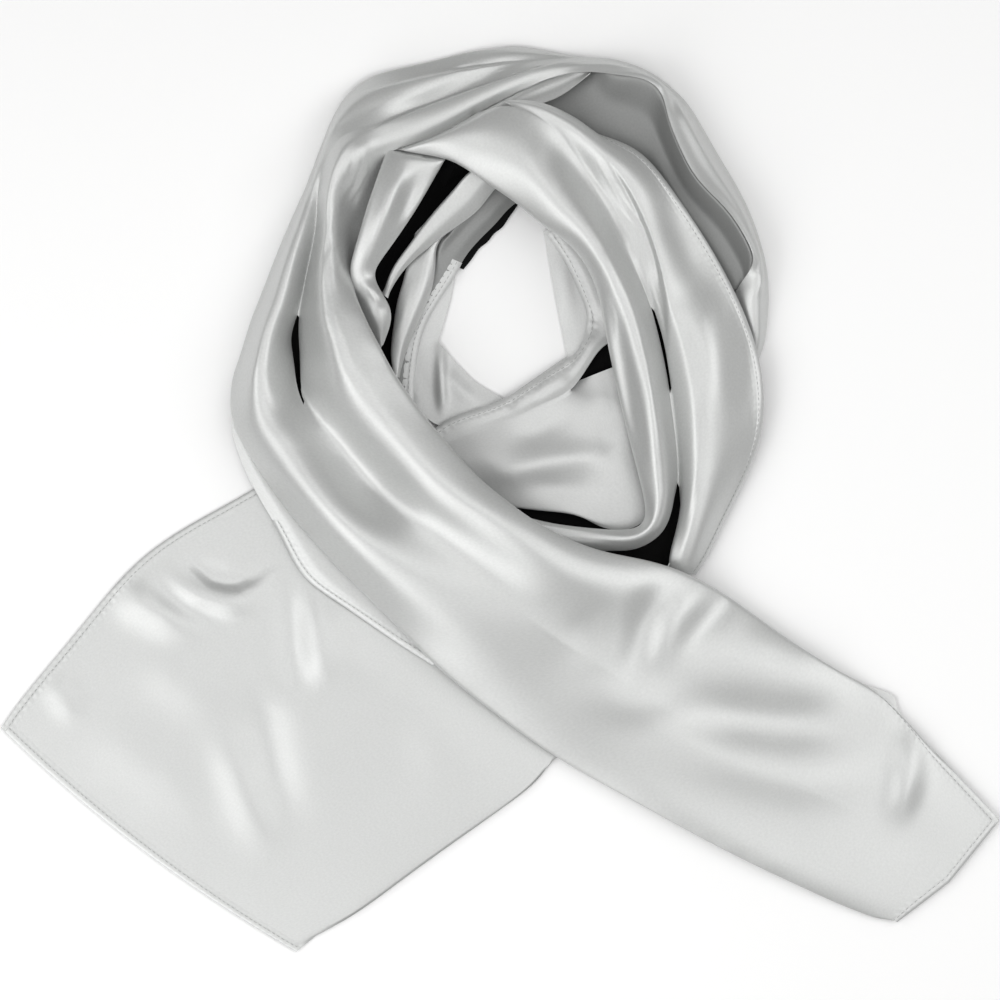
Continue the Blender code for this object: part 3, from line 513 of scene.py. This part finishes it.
BROAD_FOLD_FOLDS = [
    Fold(-58, 202, -66, 176, -78, 146, 3, 5),
    Fold(-46, 198, -54, 178, -62, 160, -2.5, 5),
    Fold(-84, 130, -74, 122, -68, 112, 3, 4),
]

LAYER_FOLDS = [
    Fold(-36, 104, -35, 72, -34, 44, 3.5, 3),
    Fold(-32, 80, -24, 66, -12, 56, 1.5, 4),
    Fold(40, 100, 38, 126, 32, 150, 1.5, 5),
]

# A near-black strip of painted shadow, laid along the back wall's edge beside the hole.
PAINTED_SHADOW_EDGE = [
    Section(14, 181, 1.5, 0, 2, 187, 3.6, 0, 3.0),
    Section(8.5, 172.5, 1.5, 0, 0, 179, 3.6, 0, 3.0),
    Section(5.5, 168.5, 1.5, 0, -4, 175, 3.6, 0, 3.0),
    Section(1.5, 162.5, 1.5, 0, -8, 168, 3.6, 0, 3.0),
    Section(-3.5, 158.5, 1.5, 0, -13, 165, 3.6, 0, 3.0),
    Section(-7.5, 153.5, 1.5, 0, -17, 160, 3.6, 0, 3.0),
    Section(-12.5, 149.5, 1.5, 0, -22, 155, 3.6, 0, 3.0),
    Section(-17.5, 142.5, 1.5, 0, -26, 147, 3.6, 0, 3.0),
    Section(-22, 137, 1.5, 0, -29, 140, 3.6, 0, 3.0),
]

# The valley between the roll and the collar, which both of them have.
VALLEY = Fold(16, 228, 56, 184, 90, 118, -11, 10)

ROLL_FOLDS = [
    VALLEY,
    Fold(20, 226, 28, 196, 58, 158, 2, 10),
    Fold(-44, 206, -20, 200, 8, 184, 1.5, 5),
    Fold(40, 190, 60, 150, 72, 104, 3, 9),
    Fold(64, 130, 76, 70, 84, 6, -4, 6),
    Fold(86, 98, 92, 50, 96, 4, 3, 7),
]

VALLEY_CREASE = [
    Fold(60, 206, 92, 146, 99, 76, -7.5, 13, -1),
]

COLLAR_FOLDS = [
    VALLEY,
    Fold(66, 186, 92, 140, 98, 96, 3, 10),
    Fold(84, 190, 110, 150, 128, 104, -3.5, 12),
    Fold(118, 130, 126, 80, 116, 20, 3.5, 14),
    Fold(146, 118, 150, 84, 144, 40, -2, 9),
]

TAIL_SOFT_FOLDS = [
    Fold(-210, -44, -186, -66, -156, -66, -1.6, 7),
    Fold(-126, -40, -125, -84, -120, -126, -2.2, 9),
    Fold(-90, -56, -88, -88, -90, -122, 1.6, 15),
    Fold(-142, -102, -138, -156, -124, -212, -2.4, 13),
    Fold(-214, -84, -190, -110, -154, -122, 1.4, 17),
    Fold(-270, -104, -262, -120, -250, -138, 1.2, 8),
    Fold(-256, -134, -210, -160, -164, -200, 1, 18),
    Fold(-72, -98, -60, -150, -74, -212, -1.2, 20),
]


def catmull(before, start, end, after, t):
    """A smooth step from start to end, whose slopes come from their neighbours."""
    return 0.5 * (
        2 * start
        + (end - before) * t
        + (2 * before - 5 * start + 4 * end - after) * t**2
        + (3 * start - before - 3 * end + after) * t**3
    )


def smooth_line(points, steps):
    """Points on a smooth line through the given ones, with steps spans between each pair."""
    padded = [2 * points[0] - points[1], *points, 2 * points[-1] - points[-2]]
    line = [
        catmull(*padded[i : i + 4], k / steps)
        for i in range(len(points) - 1)
        for k in range(steps)
    ]
    return np.array([*line, points[-1]])


def evenly(line, count):
    """Count + 1 points spread evenly along a line."""
    lengths = np.linalg.norm(np.diff(line, axis=0), axis=1)
    run = np.concatenate([[0.0], np.cumsum(lengths)])
    places = np.linspace(0.0, run[-1], count + 1)
    return np.stack([np.interp(places, run, line[:, axis]) for axis in range(line.shape[1])], axis=1)


def blurred(values, sigma, axis):
    """Values softened along one axis, with both ends kept where they are."""
    reach = min(int(3 * sigma) + 1, values.shape[axis] - 1)
    values = np.moveaxis(values, axis, 0)
    before = 2 * values[:1] - values[reach:0:-1]
    after = 2 * values[-1:] - values[-2 : -reach - 2 : -1]
    padded = np.concatenate([before, values, after])
    offsets = np.arange(-reach, reach + 1)
    weights = np.exp(-0.5 * (offsets / sigma) ** 2)
    weights /= weights.sum()
    soft = sum(w * padded[reach + o : reach + o + len(values)] for w, o in zip(weights, offsets))
    return np.moveaxis(soft, 0, axis)


def edge_points(z, turn, width):
    """The points that shape one edge of a section, outermost first: distance from the edge, and height."""
    if turn > 0:
        tucked = [(1.5 * turn, z - turn), (0.35 * turn, z - 0.85 * turn)]
        return [*tucked, (0.0, z), (0.5 * turn, z + 0.9 * turn)]
    if turn < 0:
        return [(0.0, z), (min(-turn, 0.3 * width), z)]
    return [(0.0, z)]


def section_points(row, across):
    """The cloth's face along one section, from edge a to edge b."""
    a, b = np.array([row.ax, row.ay], float), np.array([row.bx, row.by], float)
    width = np.linalg.norm(b - a)
    along = (b - a) / width
    aside = np.array([-along[1], along[0]])
    profile = edge_points(row.az, row.aturn, width)
    far_edge = [(width - far, z) for far, z in reversed(edge_points(row.bz, row.bturn, width))]
    (start, start_z), (end, end_z) = profile[-1], far_edge[0]
    crest = row.lean * width
    if start < 0.5 * crest and end - crest > 0.5 * (width - crest):
        profile.append((start + FULLNESS * (crest - start), row.crown - FLATNESS * (row.crown - start_z)))
        profile.append((crest, row.crown))
        profile.append((end - FULLNESS * (end - crest), row.crown - FLATNESS * (row.crown - end_z)))
    else:
        profile.append((crest, row.crown))
    profile += far_edge
    line = evenly(smooth_line(np.array(profile, float), PROFILE_STEPS), across)
    share = np.clip(line[:, 0] / width, 0.0, 1.0)
    bowed = row.bow * 4 * share * (1 - share)
    plan = a + line[:, :1] * along + bowed[:, None] * aside
    return np.column_stack([plan, line[:, 1]])


def fold_lift(points, fold):
    """How far a fold raises each point."""
    start = np.array((fold.x0, fold.y0), float)
    middle = np.array((fold.xm, fold.ym), float)
    end = np.array((fold.x1, fold.y1), float)
    control = 2 * middle - (start + end) / 2
    best = np.full(points.shape[:-1], np.inf)
    place = np.zeros(points.shape[:-1])
    beside = np.zeros(points.shape[:-1])
    for t in np.linspace(0.0, 1.0, FOLD_PLACES):
        at = (1 - t) ** 2 * start + 2 * t * (1 - t) * control + t**2 * end
        way = 2 * (1 - t) * (control - start) + 2 * t * (end - control)
        way /= np.linalg.norm(way)
        apart = points[..., :2] - at
        far = np.linalg.norm(apart, axis=-1)
        nearer = far < best
        place = np.where(nearer, t, place)
        beside = np.where(nearer, way[0] * apart[..., 1] - way[1] * apart[..., 0], beside)
        best = np.minimum(best, far)
    within = np.clip(np.minimum(place, 1 - place) / FOLD_FADE, 0.0, 1.0)
    lift = fold.height * within**2 * (3 - 2 * within) * np.exp(-((best / fold.width) ** 2))
    if fold.side:
        lift = lift * np.clip(0.5 + fold.side * beside / CREASE_EDGE, 0.0, 1.0)
    return lift


def stretch_face(rows, folds, across, steps, soften):
    """The cloth's face over a whole stretch: one row of points for each step along it."""
    face = smooth_line([section_points(row, across) for row in rows], steps)
    face = blurred(face, soften * steps, 0)
    face = blurred(face, ACROSS_SOFT, 1)
    return folded(face, folds)


def folded(face, folds):
    """Raises a face by each of the folds in turn."""
    for fold in folds:
        face[..., 2] += fold_lift(face, fold)
    return face


def laid_under(face, uppers):
    """Lowers a face, with soft shoulders, wherever a stretch that is already laid passes over it."""
    around = [(0, 0), (PRESS_REACH, 0), (-PRESS_REACH, 0), (0, PRESS_REACH), (0, -PRESS_REACH)]
    up = Vector((0, 0, 1))
    press = np.zeros(face.shape[:2])
    for index in np.ndindex(press.shape):
        x, y, z = face[index]
        for dx, dy in around:
            for tree in uppers:
                hit = tree.ray_cast(Vector((x + dx, y + dy, -1.0)), up)[0]
                if hit is not None:
                    press[index] = min(press[index], hit.z - CLOTH - LAYER_GAP - z)
    shoulders = blurred(blurred(press, SHOULDER_SOFT, 0), SHOULDER_SOFT, 1)
    face[..., 2] = np.maximum(face[..., 2] + np.minimum(press, shoulders), CLOTH)
    return face


def join(first, second, reach=JOIN_REACH):
    """Puts the second face's near edge on the first one's far edge wherever the two are one cloth."""
    far_edge = first[:, -1]
    for point in second[:, 0]:
        apart = np.linalg.norm(far_edge - point, axis=1)
        if apart.min() < reach:
            point[:] = far_edge[apart.argmin()]


def add_grid(mesh, face, layer, shift):
    """A grid of faces through the points of a stretch, with the cloth's own UV map in millimetres."""
    along, across = face.shape[0] - 1, face.shape[1] - 1
    made = bmesh.ops.create_grid(mesh, x_segments=across, y_segments=along, size=0.5)["verts"]
    made.sort(key=lambda vert: (round(vert.co.y, 5), round(vert.co.x, 5)))
    middle = face[:, across // 2]
    run = np.concatenate([[0.0], np.cumsum(np.linalg.norm(np.diff(middle, axis=0), axis=1))])
    wide = np.linalg.norm(np.diff(face, axis=1), axis=2).sum(axis=1).mean()
    places = {}
    for number, (vert, point) in enumerate(zip(made, face.reshape(-1, 3))):
        row, column = divmod(number, across + 1)
        vert.co = point
        places[vert] = (shift + wide * column / across, run[row])
    for quad in {quad for vert in made for quad in vert.link_faces}:
        for loop in quad.loops:
            loop[layer].uv = places[loop.vert]


def sheet_mesh(faces):
    """One mesh of faces that lie side by side on the same cloth, all facing up."""
    mesh = bmesh.new()
    layer = mesh.loops.layers.uv.new("cloth")
    shift = 0.0
    for face in faces:
        add_grid(mesh, face, layer, shift)
        shift += np.linalg.norm(np.diff(face, axis=1), axis=2).sum(axis=1).mean()
    bmesh.ops.remove_doubles(mesh, verts=mesh.verts, dist=MERGE)
    bmesh.ops.recalc_face_normals(mesh, faces=mesh.faces)
    if sum(face.normal.z * face.calc_area() for face in mesh.faces) < 0:
        bmesh.ops.reverse_faces(mesh, faces=mesh.faces)
    return mesh


def cloth_piece(name, faces, material):
    """One piece of thin satin from one or more faces. Returns the object and the tree of its shape."""
    mesh = sheet_mesh(faces)
    for vert in mesh.verts:
        vert.co.z = max(vert.co.z, CLOTH)
    for edge in mesh.edges:
        edge.smooth = not edge.is_boundary
    tree = BVHTree.FromBMesh(mesh)
    piece = finished(name, mesh, material)
    wall = piece.modifiers.new("cloth", "SOLIDIFY")
    wall.thickness = CLOTH * MM
    wall.offset = -1.0
    return piece, tree


def finished(name, mesh, material):
    """A mesh in millimetres made the scene's piece, in metres."""
    bmesh.ops.translate(mesh, verts=mesh.verts, vec=(-ORIGIN_X, -ORIGIN_Y, 0))
    bmesh.ops.scale(mesh, verts=mesh.verts, vec=(MM, MM, MM))
    data = bpy.data.meshes.new(name)
    mesh.to_mesh(data)
    mesh.free()
    data.materials.append(material)
    data.shade_smooth()
    piece = bpy.data.objects.new(name, data)
    bpy.context.scene.collection.objects.link(piece)
    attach(piece, "root")
    return piece


def at_distance(face, distances):
    """The points of a face at the given distances in from its first column, at even spacing along it."""
    steps = np.linalg.norm(np.diff(face, axis=1), axis=2)
    reach = np.concatenate([np.zeros((len(face), 1)), np.cumsum(steps, axis=1)], axis=1)
    rows = np.array([
        [[np.interp(d, run, row[:, axis]) for axis in range(3)] for d in distances]
        for run, row in zip(reach, face)
    ])
    length = np.linalg.norm(np.diff(rows[:, 0], axis=0), axis=1)
    along = np.concatenate([[0.0], np.cumsum(length)])
    places = np.linspace(0.0, along[-1], max(int(along[-1] / HEM_STEP), 4) + 1)
    even = np.array([
        [np.interp(places, along, rows[:, column, axis]) for axis in range(3)]
        for column in range(rows.shape[1])
    ])
    return even.transpose(2, 0, 1), places


def hem(name, face, material, rng, tightness=1.0):
    """A narrow hem, turned over twice and stitched, along the first column of a face."""
    strip, places = at_distance(face, HEM_ACROSS)
    outward = strip[:, 0] - strip[:, 1]
    outward /= np.maximum(np.linalg.norm(outward, axis=1, keepdims=True), 1e-6)
    strip[:, 0] += HEM_OVERHANG * outward
    pace = rng.uniform(0.7, 1.5, len(places))
    phase = np.cumsum(pace) * (HEM_STEP / PUCKER_SPACING) * 2 * math.pi * PUCKER_PACE
    pucker = np.sin(phase) * rng.uniform(0.4, 1.0, len(places))
    pucker = blurred(pucker, PUCKER_SOFT, 0) * tightness
    for column, (lift, wave) in enumerate(zip(HEM_LIFT, HEM_WAVE)):
        strip[:, column, 2] += lift + wave * pucker
    mesh = sheet_mesh([strip])
    for edge in mesh.edges:
        edge.smooth = not edge.is_boundary
    piece = finished(name, mesh, material)
    wall = piece.modifiers.new("turned", "SOLIDIFY")
    wall.thickness = HEM_WALL * MM
    wall.offset = -1.0
    stitches(name + "_stitches", strip[:, STITCH_COLUMN], places)


def stitches(name, seam, run):
    """A row of sewn stitches along a line."""
    mesh = bmesh.new()
    count = int(run[-1] / STITCH_PITCH)
    for number in range(count):
        start = (number + STITCH_START) * STITCH_PITCH
        ends = [
            Vector([np.interp(place, run, seam[:, axis]) for axis in range(3)])
            for place in (start, start + STITCH_LENGTH)
        ]
        line = ends[1] - ends[0]
        if line.length < STITCH_SHORTEST:
            continue
        turn = line.to_track_quat("X", "Z").to_matrix().to_4x4()
        middle = (ends[0] + ends[1]) / 2 + Vector((0, 0, STITCH_RISE))
        size = Matrix.Diagonal((line.length / 2, STITCH_HALF_WIDTH, STITCH_HALF_HEIGHT, 1))
        place = Matrix.Translation(middle) @ turn @ size
        bmesh.ops.create_uvsphere(mesh, u_segments=6, v_segments=4, radius=1.0, matrix=place)
    # The stitches' thread is darkened with painted shade.
    finished(name, mesh, THREAD_SHADED)


def painted_shadow_layers():
    """The heaped inner layers, a little under those that show, painted near black as the shadow seen through
    the gaps above them.
    """
    mesh = bmesh.new()
    mesh.from_mesh(bpy.data.objects["hidden_layers"].data)
    bmesh.ops.remove_doubles(mesh, verts=mesh.verts, dist=1e-5)
    for vert in mesh.verts:
        if vert.co.z > DEEP_FOOT * MM:
            vert.co.z = max(DEEP_FLOOR * MM, vert.co.z - DEPTH_UNDER * MM)
    data = bpy.data.meshes.new("painted_shadow_layers")
    mesh.to_mesh(data)
    mesh.free()
    data.materials.append(PAINTED_SHADOW)
    piece = bpy.data.objects.new("painted_shadow_layers", data)
    bpy.context.scene.collection.objects.link(piece)
    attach(piece, "root")
    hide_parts("hidden_layers")


MOTTLE = 0.05
GLOSS_CHANGE = 0.05


def satin(name, colour, roughness, metallic=0.45):
    """Satin: fine floats in its gloss and relief, a faint mottle in its colour, and a sheen."""
    made = bpy.data.materials.new(name)
    made.use_nodes = True
    nodes, links = made.node_tree.nodes, made.node_tree.links
    shader = nodes["Principled BSDF"]
    shader.inputs["Metallic"].default_value = metallic
    shader.inputs["Specular IOR Level"].default_value = 0.55 if metallic else 0.1
    shader.inputs["Sheen Weight"].default_value = 0.15 if metallic else 0.0
    shader.inputs["Sheen Roughness"].default_value = 0.4

    cloth = nodes.new("ShaderNodeUVMap")
    cloth.uv_map = "cloth"

    def noise(scale, stretch, detail):
        run = nodes.new("ShaderNodeMapping")
        run.inputs["Scale"].default_value = (scale, scale / stretch, 1.0)
        links.new(cloth.outputs["UV"], run.inputs["Vector"])
        made_noise = nodes.new("ShaderNodeTexNoise")
        made_noise.inputs["Scale"].default_value = 1.0
        made_noise.inputs["Detail"].default_value = detail
        links.new(run.outputs["Vector"], made_noise.inputs["Vector"])
        return made_noise.outputs["Fac"]

    floats = noise(3.2, 4.0, 2.0)
    mottle = noise(0.9, 1.4, 3.0)
    shade = nodes.new("ShaderNodeMapRange")
    shade.inputs["From Min"].default_value = 0.25
    shade.inputs["From Max"].default_value = 0.75
    links.new(mottle, shade.inputs["Value"])
    mix = nodes.new("ShaderNodeMix")
    mix.data_type = "RGBA"
    mix.inputs["A"].default_value = (*(c * (1 - MOTTLE) for c in colour), 1.0)
    mix.inputs["B"].default_value = (*(min(c * (1 + MOTTLE), 1.0) for c in colour), 1.0)
    links.new(shade.outputs["Result"], mix.inputs["Factor"])
    links.new(mix.outputs["Result"], shader.inputs["Base Color"])
    gloss = nodes.new("ShaderNodeMapRange")
    gloss.inputs["To Min"].default_value = roughness - GLOSS_CHANGE
    gloss.inputs["To Max"].default_value = roughness + GLOSS_CHANGE
    links.new(floats, gloss.inputs["Value"])
    links.new(gloss.outputs["Result"], shader.inputs["Roughness"])
    bump = nodes.new("ShaderNodeBump")
    bump.inputs["Strength"].default_value = 0.35
    bump.inputs["Distance"].default_value = 0.00012
    links.new(floats, bump.inputs["Height"])
    links.new(bump.outputs["Normal"], shader.inputs["Normal"])
    return made


SATIN = satin("satin_face", (0.59, 0.597, 0.59), 0.39, 0.52)
# Duller than the face, and darker: the darker colour is painted shade.
REVERSE_SHADED = satin("satin_reverse_painted_shade", (0.28, 0.284, 0.28), 0.54)
BACK = satin("satin_shaded", (0.62, 0.626, 0.62), 0.5)
# Near black: painted shadow, for the heaped layers and the sheets laid under gaps and slits.
PAINTED_SHADOW = satin("satin_painted_shadow", (0.004, 0.004, 0.004), 0.9, 0.0)
# The thread is grey like the cloth; its darker colour is painted shade along the stitches.
THREAD_SHADED = satin("thread_painted_shade", (0.30, 0.304, 0.30), 0.6, 0.0)

TURN_OUTER = [*TOP_OUTER, *LOOP_OUTER, *BAND_OUTER, *TAIL_OUTER]
TURN_INNER = [*TOP_INNER, *LOOP_INNER, *BAND_INNER, *TAIL_INNER]
TURN_FOLDS = [*BAND_FOLDS, *RIGHT_TAIL_FOLDS]
OUTER_ACROSS, INNER_ACROSS = 48, 56
TURN_STEPS = 9

# across is the number of spans from a to b, steps the number between two sections, and soften how much the
# sections flow into each other, in steps.
Stretch = namedtuple("Stretch", "sections folds across steps soften", defaults=(0.4,))

STRETCHES = {
    "turn_outer": Stretch(TURN_OUTER, TURN_FOLDS, OUTER_ACROSS, TURN_STEPS),
    "turn_inner": Stretch(TURN_INNER, TURN_FOLDS, INNER_ACROSS, TURN_STEPS),
    "rim_strip": Stretch(RIM_STRIP[::-1], RIM_FOLDS, OUTER_ACROSS + INNER_ACROSS, TURN_STEPS),
    "roll": Stretch(ROLL, ROLL_FOLDS, 48, 9),
    "collar": Stretch(COLLAR, COLLAR_FOLDS, 48, 9),
    "broad_fold": Stretch(BROAD_FOLD, BROAD_FOLD_FOLDS, 36, 8),
    "flap": Stretch(TOP_FLAP, [], 20, 8),
    "rim": Stretch(RIM_INSIDE, [], 28, 9),
    "narrow_fold": Stretch(NARROW_FOLD, [], 28, 8),
    "low_fold": Stretch(LOW_FOLD, [], 24, 8),
    "back_sheet": Stretch(BACK_WALL, [], 24, 8),
    "bowl_hem_fold": Stretch(BOWL_HEM_FOLD, BOWL_HEM_FOLDS, 24, 8, 0.3),
    "bowl": Stretch(BOWL, BOWL_FOLDS, 48, 10),
    "edge_strip": Stretch(UNDER_STRIP, [], 16, 8),
    "tail_back": Stretch(RIGHT_TAIL_UNDER, [], 16, 8),
    "tail_front": Stretch(LEFT_TAIL, [*LEFT_TAIL_FOLDS, *TAIL_SOFT_FOLDS], 90, 14),
    "floor_layer": Stretch(BACK_LAYER, LAYER_FOLDS, 24, 8, 0.08),
    "painted_shadow_edge": Stretch(PAINTED_SHADOW_EDGE, [], 10, 4, 0.1),
    "painted_shadow_slit": Stretch(PAINTED_SHADOW_SLIT, [], 10, 6),
    "painted_shadow_gap": Stretch(PAINTED_SHADOW_GAP, [], 12, 6, 0.1),
}


def shaped(name):
    return stretch_face(*STRETCHES[name])


def lay(name, uppers, material, *nodes):
    """Lays one stretch under those that pass over it. Returns its face and the tree of its shape."""
    face = laid_under(shaped(name), uppers)
    piece, tree = cloth_piece(name, [face], material)
    if nodes:
        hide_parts(*nodes)
    return face, tree


def softened_seam(face, row):
    """Softens the rows about the one where two stretches of the same cloth meet."""
    rows = slice(row - SEAM_ROWS, row + SEAM_ROWS)
    face[rows] = blurred(face[rows], SEAM_SOFT, 0)
    return face


def softened_across(first, second, weights, columns):
    """Softens the heights across the line where two faces meet, on each row as far as its weight says."""
    whole = np.concatenate([first[..., 2], second[:, 1:, 2]], axis=1)
    soft = whole + (blurred(whole, columns, 1) - whole) * weights[:, None]
    seam = first.shape[1]
    first[..., 2] = soft[:, :seam]
    second[..., 2] = soft[:, seam - 1 :]


def rising(rows, start, fade):
    """A weight for each row, 0 up to start and 1 from fade rows beyond it."""
    return np.clip((rows - start) / fade, 0.0, 1.0)


def lay_outer_turn():
    """The cloth along the rim, over the top, down the left, across the front and along the right tail."""
    rim_strip = shaped("rim_strip")[:-TURN_STEPS]
    outer = np.concatenate([rim_strip[:, : OUTER_ACROSS + 1], shaped("turn_outer")])
    inner = np.concatenate([rim_strip[:, OUTER_ACROSS:], shaped("turn_inner")])
    top = len(rim_strip)
    outer, inner = softened_seam(outer, top), softened_seam(inner, top)
    join(outer, inner)
    rows = np.arange(len(outer)) - top
    softened_across(outer, inner, rising(rows, *RIDGE_START) + rising(rows, *RIDGE_END), TURN_SOFT)
    outer, inner = folded(outer, TOP_FOLDS), folded(inner, TOP_FOLDS)
    piece, tree = cloth_piece("outer_turn", [outer, inner], SATIN)
    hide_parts("top_folds", "left_loop", "front_band", "right_tail")
    return outer, inner, tree


def lay_inner_turn(band):
    """The roll over the right of the ring, and the collar that lies open beside it."""
    roll, collar = shaped("roll"), shaped("collar")
    join(roll, collar)
    before = roll[:COLLAR_START, :, 2]
    before += (blurred(before, BESIDE_SOFT, 1) - before) * np.linspace(0.0, 1.0, COLLAR_START)[:, None]
    beside = roll[COLLAR_START : COLLAR_START + len(collar)]
    weights = rising(np.arange(len(beside)), *VALLEY_START)
    softened_across(beside, collar[: len(beside)], weights, BESIDE_SOFT)
    roll, collar = folded(roll, VALLEY_CREASE), folded(collar, VALLEY_CREASE)
    roll = laid_under(roll, [band])
    join(roll, collar, ROLL_JOIN_REACH)
    piece, tree = cloth_piece("inner_turn", [roll, collar], SATIN)
    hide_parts("inner_roll_and_collar", "inner_roll_end")
    return collar, tree


def lay_bowl(ring):
    """The cloth inside the ring, and the fold beside the hole that carries its hem."""
    hem_fold, bowl = laid_under(shaped("bowl_hem_fold"), ring), laid_under(shaped("bowl"), ring)
    join(hem_fold, bowl, BOWL_JOIN_REACH)
    piece, tree = cloth_piece("bowl_sheet", [hem_fold, bowl], BACK)
    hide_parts("bowl")
    return hem_fold, tree


def lay_scarf():
    """Lays every stretch, the uppermost first, so that each one fits under those above it."""
    outer, inner, band = lay_outer_turn()
    collar, roll = lay_inner_turn(band)
    _, broad = lay("broad_fold", [roll], SATIN, "inner_fold_broad")
    _, flap = lay("flap", [band, roll], SATIN, "top_flap")
    ring = [band, roll, broad, flap]
    # The rim's inside takes the duller satin, darkened with painted shade.
    _, rim = lay("rim", ring, REVERSE_SHADED, "outer_rim")
    ring.append(rim)
    _, narrow = lay("narrow_fold", ring, SATIN, "inner_fold_narrow")
    _, low = lay("low_fold", [*ring, narrow], SATIN, "inner_fold_low")
    within = [*ring, narrow, low]
    # The back wall also takes the duller satin, darkened with painted shade.
    back_sheet, wall = lay("back_sheet", within, REVERSE_SHADED, "back_wall")
    hem_fold, bowl = lay_bowl(ring)
    strip, under = lay("edge_strip", [band], SATIN, "under_strip")
    lay("tail_back", [band], SATIN, "right_tail_under")
    tail, _ = lay("tail_front", [band, under], SATIN, "left_tail")
    lay("floor_layer", [*within, wall, bowl], BACK, "back_layer")
    # Near-black painted shadow: the heaped layers, and the sheets under the gaps and slits.
    painted_shadow_layers()
    lay("painted_shadow_edge", [*within, wall], PAINTED_SHADOW)
    lay("painted_shadow_slit", [*within, wall], PAINTED_SHADOW)
    lay("painted_shadow_gap", [*within, bowl], PAINTED_SHADOW)

    rng = np.random.default_rng(7)
    hem("tail_front_side_hem", tail, SATIN, rng)
    hem("tail_front_end_hem", tail.transpose(1, 0, 2), SATIN, rng)
    hem("strip_hem", strip[STRIP_HEM_START:], SATIN, rng)
    hem("collar_hem", collar[:, ::-1][COLLAR_HEM_START:], SATIN, rng, 0.6)
    hem("bowl_hem", hem_fold, BACK, rng, 1.6)
    hem("back_hem", back_sheet[:, ::-1][BACK_HEM_START:], BACK, rng)
    hem("tail_end_outer_hem", outer[::-1].transpose(1, 0, 2), SATIN, rng)
    hem("tail_end_inner_hem", inner[::-1].transpose(1, 0, 2), SATIN, rng)
    hem("tail_side_hem", inner[:, ::-1][TAIL_SIDE_HEM_START:], SATIN, rng)


FLOOR_DROP = 0.0005

Lamp = namedtuple("Lamp", "name x y z size power")

LAMPS = [
    Lamp("overhead", 0.0, 0.3, 1.7, 0.8, 3.4),
    Lamp("front", -0.65, -0.6, 1.4, 0.8, 4.4),
    Lamp("left", -1.1, 0.1, 1.2, 1.0, 5),
    Lamp("right", 1.1, 0.2, 1.2, 1.0, 6.2),
    Lamp("low", -0.8, -1.0, 0.8, 0.8, 4),
    Lamp("fill", 0.55, -0.45, 1.5, 0.8, 3.0),
]


def lay_paper():
    """The pale surface that the scarf lies on."""
    mesh = bmesh.new()
    bmesh.ops.create_grid(mesh, x_segments=1, y_segments=1, size=4.0)
    bmesh.ops.translate(mesh, verts=mesh.verts, vec=(0, 0, -FLOOR_DROP))
    data = bpy.data.meshes.new("floor")
    mesh.to_mesh(data)
    mesh.free()
    paper = bpy.data.materials.new("paper")
    paper.use_nodes = True
    shader = paper.node_tree.nodes["Principled BSDF"]
    shader.inputs["Base Color"].default_value = (0.985, 0.985, 0.985, 1)
    shader.inputs["Roughness"].default_value = 0.9
    data.materials.append(paper)
    floor = bpy.data.objects.new("floor", data)
    bpy.context.scene.collection.objects.link(floor)


def light_scarf():
    """Square soft lamps aimed at the middle of the scarf, under an even pale sky."""
    world = bpy.data.worlds.new("studio")
    world.use_nodes = True
    sky = world.node_tree.nodes["Background"]
    sky.inputs["Color"].default_value = (1.0, 1.0, 0.99, 1)
    sky.inputs["Strength"].default_value = 0.33
    bpy.context.scene.world = world
    for lamp in LAMPS:
        light = bpy.data.lights.new(lamp.name, "AREA")
        light.shape = "SQUARE"
        light.size = lamp.size
        light.energy = lamp.power
        piece = bpy.data.objects.new(lamp.name, light)
        piece.location = (lamp.x, lamp.y, lamp.z)
        piece.rotation_mode = "QUATERNION"
        piece.rotation_quaternion = (-Vector(piece.location)).to_track_quat("-Z", "Y")
        bpy.context.scene.collection.objects.link(piece)


def place_camera():
    """A camera straight above, far enough off that the picture is nearly flat, as the photograph is."""
    camera = bpy.data.cameras.new("camera")
    camera.lens = CAMERA_SENSOR * CAMERA_HEIGHT / PICTURE_WIDTH
    camera.sensor_width = CAMERA_SENSOR
    camera.dof.use_dof = False
    eye = bpy.data.objects.new("camera", camera)
    eye.location = (-ORIGIN_X * MM, -CAMERA_DOWN - ORIGIN_Y * MM, CAMERA_HEIGHT)
    bpy.context.scene.collection.objects.link(eye)
    bpy.context.scene.camera = eye
    bpy.context.scene.view_settings.view_transform = "Standard"


lay_paper()
light_scarf()
place_camera()
lay_scarf()
